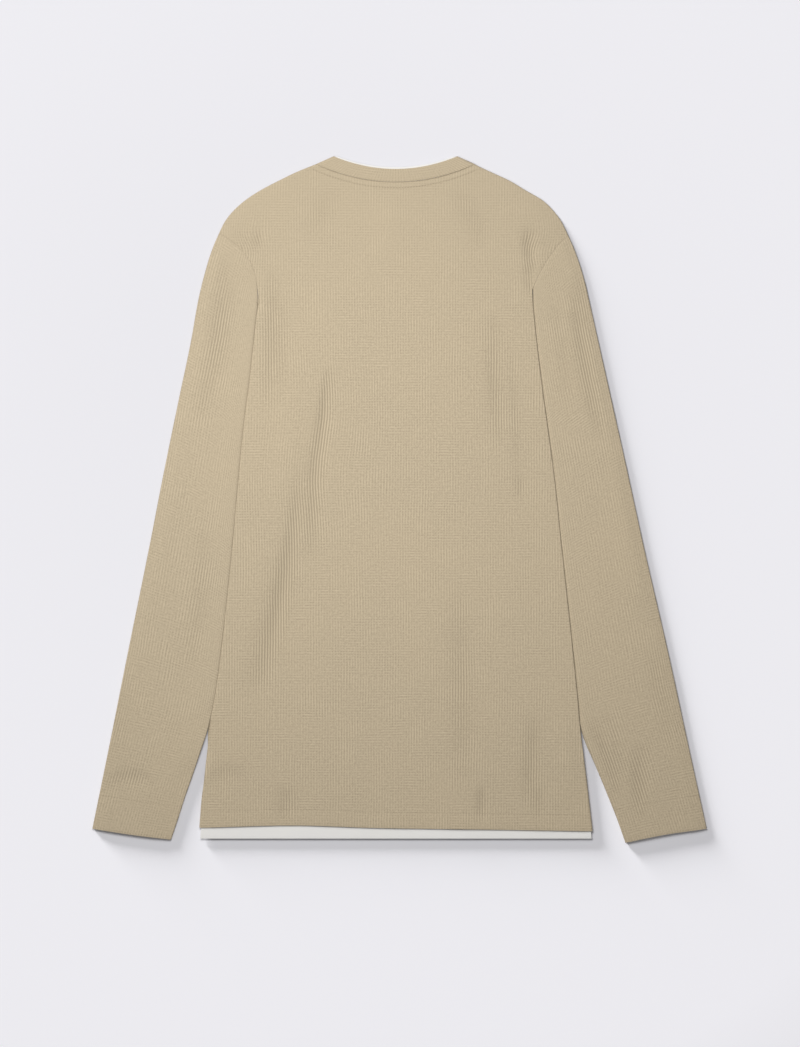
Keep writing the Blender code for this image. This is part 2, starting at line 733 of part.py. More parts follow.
def band_width(front, distance, shares):
    """The width of the neckband at each station."""
    edge, seam = (neck_curve(*line, distance, shares) for line in neck_lines(front))
    return np.linalg.norm(edge - seam, axis=1)


def neckband():
    """The doubled strip round the neck."""
    distance = BAND_CLOTH / 2

    def reaches(front, shares):
        width = band_width(front, distance, shares)
        return [mix(neck_gap(shares), width, share) for share in (0.0, 0.5, 1.0)]

    return neck_ring("neckband", BAND_CLOTH, "knit", distance, BAND_HALF, reaches)


def underlayer_neck():
    """The off-white edging inside the neckband, which stands a little proud of it."""
    distance = BAND_CLOTH + SEAM + UNDER_CLOTH / 2

    def reaches(front, shares):
        width = band_width(front, distance, shares) + UNDER_NECK_SHOWS
        return [width - UNDER_NECK_DEPTH * share for share in (1.0, 0.5, 0.0)]

    return neck_ring("underlayer_neck", UNDER_CLOTH, "jersey", distance, UNDER_HALF, reaches)


def underlayer_hem():
    """The off-white strip between the panels at the hem, a flat tube."""
    ys = np.linspace(HEM_STRIP_TOP_Y, HEM_SHOWS_TO_Y, STRIP_ROWS)
    paths = []
    for side in (LEFT, RIGHT):
        x = side.inner_line("body", ys) - side.sign * HEM_STRIP_INSET
        paths.append(np.column_stack([x, ys]))
    edges = [Edge(side.order(path), half=UNDER_HALF) for side, path in zip((LEFT, RIGHT), paths)]
    roll = UNDER_HALF * (1 - np.cos(ROLL_ANGLES))
    even = np.linspace(0, 1, STRIP_COLUMNS)[1:-1]
    rows = []
    for left, right in zip(*paths):
        width = right[0] - left[0]
        u = np.concatenate([roll / width, even, 1 - roll[::-1] / width])
        rows.append(mix(left, right, u[:, None]))
    floor = CLOTH + SEAM + UNDER_CLOTH / 2
    return flat_tube("underlayer_hem", np.array(rows), edges, UNDER_CLOTH, "jersey", UNDER_HALF, floor)


def main():
    """Empties the scene and makes every piece."""
    for old in list(bpy.data.objects):
        bpy.data.objects.remove(old, do_unlink=True)
    panel("back", front=False, shoulder_columns=4)
    panel("front", front=True, shoulder_columns=3)
    sleeve(LEFT)
    sleeve(RIGHT)
    neckband()
    underlayer_neck()
    underlayer_hem()


main()
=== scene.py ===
"""Crew neck sweater in tan waffle knit, laid flat with its back up on a pale studio floor.

Lengths in the pattern are millimetres, turned to metres where a mesh is made. X runs across
the garment, Y from the hem to the neck and Z up. "Left" is the wearer's left, at -X. Every
piece is a wall of cloth round a fine grid of points: the grid is laid out flat, its edges
are rolled or pressed, and creases, seams and stitch grooves are added to its height.
"""

from __future__ import annotations

import logging
import math
from collections.abc import Callable, Sequence
from dataclasses import dataclass
from enum import Enum
from typing import NamedTuple

import bpy
import numpy as np
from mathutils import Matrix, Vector


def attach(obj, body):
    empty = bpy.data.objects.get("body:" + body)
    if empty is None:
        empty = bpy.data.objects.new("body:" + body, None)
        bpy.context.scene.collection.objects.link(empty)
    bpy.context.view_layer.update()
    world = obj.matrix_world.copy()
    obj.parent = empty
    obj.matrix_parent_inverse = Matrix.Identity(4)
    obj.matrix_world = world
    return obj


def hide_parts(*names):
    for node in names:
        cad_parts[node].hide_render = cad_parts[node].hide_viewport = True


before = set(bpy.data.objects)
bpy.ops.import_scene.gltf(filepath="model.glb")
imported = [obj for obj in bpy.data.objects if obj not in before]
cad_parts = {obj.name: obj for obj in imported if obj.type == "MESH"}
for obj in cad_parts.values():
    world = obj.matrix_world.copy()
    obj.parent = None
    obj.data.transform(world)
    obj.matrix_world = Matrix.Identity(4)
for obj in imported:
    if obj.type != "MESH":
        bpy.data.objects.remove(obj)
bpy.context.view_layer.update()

LOG = logging.getLogger("sweater")
METRES = 0.001
BODY = "root"
FAR = 50.0  # millimetres from a row of stitches, past which it isn't felt
SHARP_ANGLE = math.radians(50.0)
GRAIN = "grain"  # the UV map, in metres along the courses and the wales of the knit
SEWN = "sewn"  # the attribute with the distance in metres from a row of stitches
DRAWN_AND_SHADE = "drawn_and_shade"  # the attribute that is 1 where a crease draws the ribs together; it also sets the painted shade there

Array = np.ndarray
Relief = Callable[[Array], Array]


# Tables of the pattern, in millimetres


class OutlineRow(NamedTuple):
    """The outer edges of the garment at one height: shoulders first, then sleeves."""

    y: float
    left: float
    right: float


OUTLINE = (
    OutlineRow(368.0, -71.1, 62.5),
    OutlineRow(359.6, -90.0, 80.0),
    OutlineRow(351.0, -111.0, 98.5),
    OutlineRow(342.5, -128.5, 117.0),
    OutlineRow(331.5, -149.5, 135.5),
    OutlineRow(321.0, -165.5, 153.5),
    OutlineRow(310.0, -178.0, 165.0),
    OutlineRow(299.5, -186.5, 173.0),
    OutlineRow(288.5, -192.3, 178.5),
    OutlineRow(267.5, -201.3, 188.0),
    OutlineRow(235.0, -211.0, 198.5),
    OutlineRow(213.5, -216.0, 203.5),
    OutlineRow(171.0, -223.5, 213.0),
    OutlineRow(106.5, -237.0, 227.5),
    OutlineRow(21.0, -254.5, 246.5),
    OutlineRow(-43.5, -267.0, 260.5),
    OutlineRow(-172.0, -293.0, 290.0),
    OutlineRow(-257.5, -310.0, 308.5),
    OutlineRow(-353.0, -329.5, 329.5),
)


class InnerRow(NamedTuple):
    """The sleeves' inner edges and the body's sides at one height. Where two of them lie
    on each other, both columns give the edge on top."""

    y: float
    left_sleeve: float
    left_body: float
    right_body: float
    right_sleeve: float


APEX_Y = -248.5  # where the sleeves part from the body
INNER = (
    InnerRow(224.5, -152.1, -152.1, 142.5, 142.5),
    InnerRow(213.5, -151.6, -151.6, 143.0, 143.0),
    InnerRow(187.0, -154.3, -154.3, 145.4, 145.4),
    InnerRow(128.0, -160.7, -160.7, 152.2, 152.2),
    InnerRow(74.5, -167.5, -167.5, 159.4, 159.4),
    InnerRow(21.0, -172.7, -172.7, 166.5, 166.5),
    InnerRow(-43.5, -178.5, -178.5, 173.2, 173.2),
    InnerRow(-107.5, -185.0, -185.0, 180.2, 180.2),
    InnerRow(-172.0, -192.3, -192.3, 187.0, 187.0),
    InnerRow(-215.0, -198.7, -198.7, 191.3, 191.3),
    InnerRow(APEX_Y, -206.0, -205.6, 194.2, 194.8),
    InnerRow(-263.0, -210.8, -205.8, 196.0, 200.0),
    InnerRow(-281.0, -216.8, -207.7, 198.4, 208.0),
    InnerRow(-300.5, -223.4, -209.7, 200.9, 216.3),
    InnerRow(-322.0, -230.9, -212.5, 203.4, 225.0),
    InnerRow(-343.5, -237.7, -214.2, 205.9, 233.5),
    InnerRow(-368.0, -246.0, -216.0, 208.8, 242.1),
)


class Station(NamedTuple):
    """A point that a line passes through."""

    x: float
    y: float


LEFT_ARMHOLE = (
    Station(-193.5, 286.0),
    Station(-180.5, 277.0),
    Station(-172.0, 270.0),
    Station(-164.5, 262.0),
    Station(-158.5, 251.5),
    Station(-154.5, 239.0),
    Station(-152.1, 224.5),
)
RIGHT_ARMHOLE = (
    Station(181.0, 282.5),
    Station(174.0, 277.0),
    Station(167.5, 269.5),
    Station(160.0, 259.0),
    Station(152.5, 246.5),
    Station(147.0, 236.0),
    Station(142.5, 224.5),
)
HEM = (
    Station(-215.0, -351.8),
    Station(-109.0, -349.4),
    Station(-27.0, -352.0),
    Station(97.0, -353.8),
    Station(208.0, -355.6),
)
LEFT_CUFF = (Station(-329.5, -353.0), Station(-287.0, -359.5), Station(-244.8, -364.8))
RIGHT_CUFF = (Station(329.5, -353.0), Station(285.0, -359.3), Station(242.1, -368.0))


UNDER_LAYER_Y = -363.6  # the lower edge of the strip that shows below the hem
BELOW_ALL_Y = -380.0
ARMHOLE_GROOVE = (0.14, 3.0)  # its depth and its width


class Crease(NamedTuple):
    """A soft trough (depth below 0) or ridge along a bowed line."""

    x0: float
    y0: float
    x1: float
    y1: float
    bow: float
    width: float
    depth: float


BACK_CREASES = (
    Crease(-71.0, 142.0, -95.0, -66.0, -5.0, 8.0, -1.0),
    Crease(-77.0, 144.0, -82.0, 44.0, -1.0, 4.0, -0.45),
    Crease(-104.0, 34.0, -149.0, -206.0, 4.0, 8.0, -1.0),
    Crease(-116.0, -40.0, -160.0, -218.0, 3.0, 15.0, -0.55),
    Crease(-116.0, 122.0, -130.0, -30.0, 3.0, 15.0, 0.6),
    Crease(-136.0, 250.0, -142.0, 92.0, 3.0, 8.0, -0.65),
    Crease(-121.0, 214.0, -126.0, 96.0, -2.0, 6.0, -0.25),
    Crease(-158.0, 290.0, -150.0, 268.0, 3.0, 3.5, -0.6),
    Crease(-167.0, 296.0, -156.5, 266.0, 4.0, 6.0, 0.5),
    Crease(102.0, 205.0, 110.0, 52.0, -3.0, 9.0, -0.55),
    Crease(118.0, 168.0, 128.0, 12.0, 2.0, 6.0, -0.3),
    Crease(128.0, 26.0, 130.0, -2.0, 1.0, 5.0, -0.45),
    Crease(140.5, 292.0, 140.0, 256.0, -1.0, 4.6, -1.2),
    Crease(139.0, 284.0, 140.2, 214.0, -0.5, 3.6, -1.0),
    Crease(133.0, 280.0, 131.0, 236.0, 2.0, 6.0, 0.35),
    Crease(62.0, -84.0, 66.0, -318.0, 4.0, 12.0, -0.4),
    Crease(176.0, -190.0, 186.0, -320.0, 3.0, 12.0, 0.5),
    Crease(146.0, -232.0, 142.0, -334.0, -2.0, 9.0, -0.6),
    Crease(-214.0, -297.0, -160.0, -297.0, 3.0, 9.0, -0.4),
    Crease(-123.0, -306.0, -122.0, -346.0, 2.0, 10.0, -0.5),
    Crease(87.0, -306.0, 88.0, -348.0, 1.0, 6.0, -0.6),
    Crease(150.0, -304.0, 149.0, -344.0, 1.0, 6.0, -0.4),
    Crease(-10.0, 330.0, -14.0, 250.0, 6.0, 16.0, 0.25),
    Crease(56.0, 338.0, 92.0, 268.0, 4.0, 12.0, -0.3),
    Crease(-66.0, 336.0, -98.0, 272.0, -4.0, 13.0, -0.25),
)
FRONT_CREASES = (
    Crease(66.0, 150.0, 92.0, -48.0, -4.0, 10.0, -0.5),
    Crease(112.0, 24.0, 146.0, -212.0, 5.0, 11.0, -0.55),
    Crease(-94.0, 196.0, -108.0, 46.0, 3.0, 10.0, -0.4),
    Crease(-138.0, -180.0, -146.0, -322.0, 2.0, 9.0, -0.4),
    Crease(-20.0, -120.0, -28.0, -330.0, -3.0, 13.0, -0.3),
    Crease(40.0, 240.0, 78.0, 176.0, 4.0, 12.0, -0.3),
)
LEFT_SLEEVE_CREASES = (
    Crease(-188.0, 262.0, -214.0, 78.0, 6.0, 9.0, -0.65),
    Crease(-176.0, 232.0, -190.0, 120.0, -3.0, 7.0, -0.25),
    Crease(-232.0, 60.0, -262.0, -140.0, -5.0, 14.0, 0.4),
    Crease(-208.0, -20.0, -226.0, -190.0, 4.0, 9.0, -0.3),
    Crease(-318.0, -304.0, -262.0, -304.0, 6.0, 8.0, -0.55),
    Crease(-276.0, -302.0, -270.0, -330.0, 1.0, 7.0, 0.3),
    Crease(-292.0, -180.0, -304.0, -286.0, -3.0, 9.0, -0.25),
)
RIGHT_SLEEVE_CREASES = (
    Crease(190.0, 244.0, 220.0, 62.0, -5.0, 9.0, -0.85),
    Crease(165.0, 214.0, 182.0, 96.0, 3.0, 8.0, -0.25),
    Crease(226.0, 40.0, 254.0, -128.0, 4.0, 13.0, 0.35),
    Crease(204.0, -236.0, 236.0, -322.0, 4.0, 7.0, -0.6),
    Crease(220.0, -226.0, 240.0, -300.0, 3.0, 5.0, -0.3),
    Crease(258.0, -262.0, 262.0, -346.0, -3.0, 8.0, -0.6),
    Crease(276.0, -150.0, 294.0, -268.0, -3.0, 10.0, -0.3),
)
UNDER_SLEEVE_CREASES = (
    Crease(196.0, 200.0, 226.0, 40.0, 5.0, 9.0, -0.4),
    Crease(-200.0, 190.0, -232.0, 20.0, -4.0, 10.0, -0.4),
    Crease(236.0, -110.0, 262.0, -250.0, -4.0, 9.0, -0.35),
    Crease(-244.0, -90.0, -276.0, -240.0, 3.0, 9.0, -0.35),
)


class Fan(NamedTuple):
    """A place where the ribs run aslant: the slant is how far they go across for each step up."""

    x: float
    y: float
    slant: float
    reach: float


BACK_FANS = (Fan(-163.0, 276.0, -0.5, 17.0), Fan(151.0, 276.0, 0.42, 19.0), Fan(-92.0, 60.0, 0.14, 60.0))
FRONT_FANS = (Fan(-150.0, 270.0, 0.3, 20.0), Fan(158.0, 272.0, -0.3, 20.0))


class Layer(Enum):
    """The two cloths of the flat garment."""

    BACK = "back"
    FRONT = "front"

    @property
    def upper(self) -> bool:
        """Whether this cloth lies on top."""
        return self is Layer.BACK


@dataclass(frozen=True)
class Fit:
    """Sizes that all pieces share."""

    cloth: float = 1.1
    band_cloth: float = 1.4
    under_cloth: float = 0.7
    seam: float = 0.3
    joint: float = 0.1
    press: float = 0.1
    fine: float = 2.2  # how many times finer the furrows of the hem and cuffs are
    hollow: float = 2.3
    cuff_hollow: float = 1.7
    lap: float = 5.0
    lap_start: float = 24.0
    fold_start: float = 15.0
    unlapped_by: float = 55.0
    unlapped_over: float = 40.0
    fold_half: float = 0.95
    fold_from: float = 352.0
    fold_within: float = 45.0
    top_beside_lap: float = 0.25
    ramp: float = 12.0
    top_ramp: float = 24.0
    free_from: float = 16.0
    slope_step: float = 0.5

    @property
    def open_half(self) -> float:
        """From the middle of a layer's cloth to halfway up to the other layer."""
        return (self.cloth + self.hollow) / 2

    @property
    def cuff_half(self) -> float:
        """The same inside a cuff."""
        return (self.cloth + self.cuff_hollow) / 2

    @property
    def band_half(self) -> float:
        """The same inside the neckband."""
        return self.open_half + 0.15

    @property
    def under_half(self) -> float:
        """The same inside the under-layer's strips."""
        return (self.under_cloth + self.seam) / 2

    @property
    def pressed_half(self) -> float:
        """The same at an edge that something lies on."""
        return (self.cloth + self.press) / 2

    @property
    def over(self) -> float:
        """How far an edge is lifted to lie on another."""
        return 2 * (self.cloth + self.press)


FIT = Fit()
ROLL_ANGLES = np.radians([0.0, 15.0, 30.0, 45.0, 60.0, 75.0, 90.0])


# Lines and curves


def smooth(value: Array) -> Array:
    """0 up to 0, 1 from 1, and a soft rise between."""
    held = np.clip(value, 0.0, 1.0)
    return held * held * (3.0 - 2.0 * held)


def mix(low: Array, high: Array, share: Array) -> Array:
    """low at share 0, high at share 1."""
    return low + (high - low) * share


def unit(vectors: Array) -> Array:
    """Vectors of length 1."""
    return vectors / np.linalg.norm(vectors, axis=-1, keepdims=True)


def curve_at(places: Sequence[float], values: Sequence[float], at: Array) -> Array:
    """A soft curve through values at rising places, straight beyond both ends.

    Args:
        places: Rising places along the curve.
        values: The curve's values there.
        at: Where the curve is read.

    Returns:
        The curve's values at those places.
    """
    places, values = np.asarray(places, float), np.asarray(values, float)
    steps = np.diff(values) / np.diff(places)
    slopes = np.concatenate([steps[:1], (steps[1:] + steps[:-1]) / 2, steps[-1:]])
    at = np.asarray(at, float)
    row = np.clip(np.searchsorted(places, at) - 1, 0, len(places) - 2)
    span = places[row + 1] - places[row]
    t = (at - places[row]) / span
    held = np.clip(t, 0, 1)
    curve = (
        (1 + 2 * held) * (1 - held) ** 2 * values[row]
        + held * (1 - held) ** 2 * span * slopes[row]
        + held**2 * (3 - 2 * held) * values[row + 1]
        + held**2 * (held - 1) * span * slopes[row + 1]
    )
    return curve + (t - held) * span * np.where(t < 0, slopes[0], slopes[-1])


def column(rows: Sequence[NamedTuple], name: str, at: Array) -> Array:
    """A table's column as a curve over y."""
    ordered = sorted(rows, key=lambda row: row.y)
    return curve_at([row.y for row in ordered], [getattr(row, name) for row in ordered], at)


def lengths_along(path: Array) -> Array:
    """How far along a polyline each of its points is."""
    steps = np.linalg.norm(np.diff(path, axis=0), axis=1)
    return np.concatenate([[0.0], np.cumsum(steps)])


def along(path: Array, shares: Array) -> Array:
    """Points at shares of a polyline's length.

    Args:
        path: The polyline.
        shares: Shares from 0 to 1, in any shape.

    Returns:
        A point for each share.
    """
    path = np.asarray(path, float)
    lengths = lengths_along(path)
    at = np.clip(shares, 0, 1) * lengths[-1]
    return np.stack([np.interp(at, lengths, path[:, axis]) for axis in (0, 1)], axis=-1)


def stations_curve(stations: Sequence[Station], count: int) -> Array:
    """A soft curve through stations, with evenly spaced points.

    Args:
        stations: The points that the curve passes through.
        count: How many points it gets.

    Returns:
        The curve's points.
    """
    points = np.array(stations, float)
    lengths = lengths_along(points)
    at = np.linspace(0, lengths[-1], count)
    return np.stack([curve_at(lengths, points[:, axis], at) for axis in (0, 1)], axis=-1)


def normals_of(path: Array) -> Array:
    """The unit normals of a polyline at its points, to the left of the way it runs.

    Args:
        path: The polyline.

    Returns:
        A normal for each of its points.
    """
    sides = unit(np.diff(np.asarray(path, float), axis=0))
    ends = unit(np.concatenate([sides[:1], sides[1:] + sides[:-1], sides[-1:]]))
    return np.stack([-ends[:, 1], ends[:, 0]], axis=-1)


def ease_steps(start: float, end: float, step: float) -> Array:
    """Evenly spaced values from start to end, about step apart, without the first."""
    count = max(1, round(abs(end - start) / step))
    return np.linspace(start, end, count + 1)[1:]


class Edge:
    """An outer edge of a flat piece, where its upper and lower cloth meet.

    The path is the edge of the middle of the cloth, with the garment on its right. At each
    of its points, closed says how far the layers come together (0 is an open seam), half is
    their half height there, lift is how far the lower one is off the floor, and flat is how
    far in from the edge this holds. Over the ramp beyond, the cloth comes to its own height.
    """

    def __init__(
        self,
        path: Array,
        closed: Array | float = 1.0,
        half: Array | float = FIT.open_half,
        lift: Array | float = 0.0,
        flat: Array | float = 0.0,
        ramp: float = FIT.ramp,
    ) -> None:
        """Keeps the path and its values, one for each point.

        Args:
            path: The edge of the middle of the cloth.
            closed: How far the layers come together at each point.
            half: Their half height there.
            lift: How far the lower one is off the floor there.
            flat: How far in from the edge these values hold.
            ramp: The width over which the cloth comes to its own height.
        """
        self.ramp = ramp
        self.path = np.asarray(path, float)
        self.normals = normals_of(self.path)
        count = len(self.path)
        self.closed, self.half, self.lift, self.flat = (
            np.broadcast_to(value, count) for value in (closed, half, lift, flat)
        )

    def near(self, points: Array, felt: float = 45.0) -> tuple[Array, ...]:
        """The edge as it is nearest to each point that isn't far away.

        Args:
            points: Points in X and Y.
            felt: How far away the edge still shapes the cloth.

        Returns:
            Each point's distance, the edge's outward normal, and its four values there. Far
            points have an endless distance and plain values.
        """
        low, high = self.path.min(axis=0) - felt, self.path.max(axis=0) + felt
        close = np.flatnonzero(np.all((points > low) & (points < high), axis=1))
        start, step = self.path[:-1], np.diff(self.path, axis=0)
        share = np.einsum("psk,sk->ps", points[close, None] - start, step)
        share = np.clip(share / (step**2).sum(axis=1), 0, 1)
        gaps = np.linalg.norm(points[close, None] - start - share[..., None] * step, axis=-1)
        nearest = gaps.argmin(axis=1)
        rows = np.arange(len(close))
        share = share[rows, nearest]

        def read(values: Array, plain: float) -> Array:
            """One of the edge's lists of values, read at each point."""
            weight = share[:, None] if values.ndim > 1 else share
            whole = np.full((len(points), *values.shape[1:]), plain)
            whole[close] = mix(values[nearest], values[nearest + 1], weight)
            return whole

        gap = np.full(len(points), np.inf)
        gap[close] = gaps[rows, nearest]
        normal = read(self.normals, 0.0)
        normal[close] = unit(normal[close])
        plain = ((self.closed, 0.0), (self.half, 1.0), (self.lift, 0.0), (self.flat, 0.0))
        return gap, normal, *(read(values, far) for values, far in plain)

    def gap(self, points: Array) -> Array:
        """Each point's distance from the path."""
        return self.near(points)[0]

    def onto(self, points: Array) -> Array:
        """The points moved to the path along its normals there.

        Args:
            points: Points near the path.

        Returns:
            The moved points.
        """
        gap, normal, *_ = self.near(points)
        moved, back = points + normal * gap[:, None], points - normal * gap[:, None]
        return np.where((self.gap(moved) < self.gap(back))[:, None], moved, back)


# Reliefs, which add height to a cloth


@dataclass(frozen=True)
class Creases:
    """Soft troughs and ridges from a table."""

    rows: tuple[Crease, ...]
    strength: float = 1.9

    def shares(self, points: Array) -> list[Array]:
        """How much each one shapes each point, from 0 to 1.

        Args:
            points: Points in X and Y.

        Returns:
            A list of shares for each crease.
        """
        found = []
        for crease in self.rows:
            start = np.array([crease.x0, crease.y0])
            line = np.array([crease.x1, crease.y1]) - start
            length = np.linalg.norm(line)
            share = (points - start) @ line / length**2
            side = (points - start) @ np.array([-line[1], line[0]]) / length
            held = np.clip(share, 0, 1)
            side = side - crease.bow * 4 * held * (1 - held)
            found.append(np.exp(-((side / crease.width) ** 2)) * np.sin(np.pi * held) ** 0.8)
        return found

    def __call__(self, points: Array) -> Array:
        """The height that they add at each point."""
        depths = (self.strength * row.depth * share for row, share in zip(self.rows, self.shares(points)))
        return sum(depths, np.zeros(len(points)))

    def drawn_and_shade(self, points: Array) -> Array:
        """How far the ribs are pulled together at each point, most in deep troughs, which the knit also
        paints darker as shade.
        """
        depths = [max(-row.depth, 0.0) * share for row, share in zip(self.rows, self.shares(points))]
        return np.clip(sum(depths), 0, 1)


@dataclass(frozen=True)
class Ripple:
    """The gentle unevenness of cloth that was smoothed by hand: a sum of long waves."""

    seed: int
    height: float = 0.16
    shortest: float = 26.0
    longest: float = 120.0
    waves: int = 14

    def __call__(self, points: Array) -> Array:
        """The height of the waves at each point.

        Args:
            points: Points in X and Y.

        Returns:
            A height for each point.
        """
        rng = np.random.default_rng(self.seed)
        total = np.zeros(len(points))
        for _ in range(self.waves):
            length = rng.uniform(self.shortest, self.longest)
            # the knit drapes along its wales, so most waves run across
            angle = rng.normal(0.0, 0.5)
            way = np.array([math.cos(angle), math.sin(angle)])
            phase = rng.uniform(0, 2 * math.pi)
            total += np.sin(points @ way * 2 * math.pi / length + phase) * length / self.longest
        return total * self.height / math.sqrt(self.waves)


@dataclass(frozen=True)
class Groove:
    """A narrow trough along a path, as at a seam or a row of stitches."""

    path: Array
    depth: float
    width: float

    def __call__(self, points: Array) -> Array:
        """The height that it takes away at each point."""
        gap = Edge(self.path).gap(points)
        return -self.depth * np.exp(-((gap / self.width) ** 2))


@dataclass(frozen=True)
class TurnedUp:
    """The doubled cloth between a hem's fold and its row of stitches."""

    fold: Array
    depth: float
    height: float = 0.28
    soft: float = 3.0

    def __call__(self, points: Array) -> Array:
        """The height that the second layer adds at each point."""
        gap = Edge(self.fold).gap(points)
        return self.height * smooth((self.depth - gap) / self.soft)


def total_relief(parts: Sequence[Relief]) -> Relief:
    """Several reliefs as one."""
    return lambda points: sum((part(points) for part in parts), np.zeros(len(points)))


# Laying cloth


@dataclass
class Laid:
    """A grid of places on the middle of a cloth, the way it faces out, and its grain."""

    places: Array
    facing: Array
    grain: Array

    @classmethod
    def joined(cls, skins: Sequence[Laid]) -> Laid:
        """Several cloths side by side, as one."""
        parts = ("places", "facing", "grain")
        return cls(*(np.concatenate([getattr(skin, part) for skin in skins], axis=1) for part in parts))

    def outer(self, thickness: float) -> Array:
        """The places on its outer face."""
        return self.places + self.facing * thickness / 2


@dataclass
class Layup:
    """How the two cloths of a flat piece lie over the plan: edges, heights and reliefs."""

    edges: list[Edge]
    half: Relief | float = FIT.open_half
    floor: float = FIT.cloth / 2
    over: Relief | None = None
    under: Relief | None = None

    def levels(self, points: Array) -> tuple[Array, Array, Array]:
        """The middle, upper and lower height at each point, before the edges roll over.

        Args:
            points: Points in X and Y.

        Returns:
            The three heights for each point.
        """
        half = self.half(points) if callable(self.half) else np.full(len(points), self.half)
        lift = np.zeros(len(points))
        free = np.ones(len(points))
        for edge in self.edges:
            gap, _, closed, edge_half, edge_lift, flat = edge.near(points)
            inside = smooth((gap - flat) / edge.ramp)
            half = mix(edge_half, half, inside)
            lift = mix(edge_lift, lift, inside)
            free = free * mix(1.0, smooth((gap - flat) / FIT.free_from), closed)
        low = self.floor + lift
        top, bottom = low + 2 * half, low
        if self.over:
            top = top + self.over(points) * free
        if self.under:
            bottom = bottom + np.maximum(-self.under(points) * free, 0.0)
        return low + half, top, bottom

    def lay(self, grid: Array, upper: bool, grain: Array) -> Laid:
        """The places of the upper or lower cloth over a grid of points.

        Args:
            grid: Points in X and Y, as (rows, columns, 2).
            upper: Whether this is the upper cloth.
            grain: The knit's own coordinates at the same points.

        Returns:
            The cloth's middle, the way it faces out, and its grain.
        """
        points = np.asarray(grid, float).reshape(-1, 2)
        roll = np.ones(len(points))
        outward = np.zeros((len(points), 2))
        for edge in self.edges:
            gap, normal, closed, edge_half, _, _ = edge.near(points)
            cosine = np.clip(1 - gap / edge_half, 0, 1)
            roll = roll * (1 - closed * (1 - np.sqrt(1 - cosine**2)))
            outward += normal * (closed * cosine)[:, None]
        side = 1 if upper else 2

        def slope(step: Array) -> Array:
            """How steeply the cloth rises that way."""
            ahead, behind = self.levels(points + step)[side], self.levels(points - step)[side]
            return (ahead - behind) / (2 * FIT.slope_step)

        middle = self.levels(points)
        z = middle[0] + (middle[side] - middle[0]) * roll
        sign = 1.0 if upper else -1.0
        east, north = np.array([FIT.slope_step, 0.0]), np.array([0.0, FIT.slope_step])
        facing = np.stack([-slope(east), -slope(north), np.ones(len(points))], axis=-1) * sign
        facing = unit(facing) * roll[:, None]
        facing[:, :2] += outward
        shape = (*grid.shape[:2], 3)
        return Laid(np.column_stack([points, z]).reshape(shape), unit(facing).reshape(shape), grain)

    def tube(self, grid: Array, grain: Array) -> Laid:
        """Both cloths of a piece that is closed at its sides, as one ring.

        Args:
            grid: Points in X and Y, as (rows, columns, 2).
            grain: The knit's own coordinates at the same points.

        Returns:
            The upper cloth, then the lower one on its way back.
        """
        upper = self.lay(grid, True, grain)
        return Laid.joined([upper, self.lay(grid[:, -2:0:-1], False, grain[:, -2:0:-1])])


def rim_share(points: Array, rims: Sequence[Array], thickness: float) -> Array:
    """How much of its thickness a cloth has at each point, so that its rims are round.

    Args:
        points: Points in X and Y.
        rims: The lines where the cloth ends.
        thickness: Its thickness.

    Returns:
        A share of the thickness for each point.
    """
    gap = np.full(len(points), np.inf)
    for rim in rims:
        gap = np.minimum(gap, Edge(rim).gap(points))
    inside = np.clip(1 - gap / (thickness / 2), 0, 1)
    return np.maximum(np.sqrt(1 - inside**2), 0.8)


def below(line: Array, points: Array) -> Array:
    """How far each point is below a line that runs across, or less than 0 above it.

    Args:
        line: The line's points.
        points: Points in X and Y.

    Returns:
        A signed distance for each point.
    """
    gap = Edge(line).gap(points)
    order = np.argsort(line[:, 0])
    height = np.interp(points[:, 0], line[order, 0], line[order, 1])
    return np.where(points[:, 1] < height, gap, -gap)


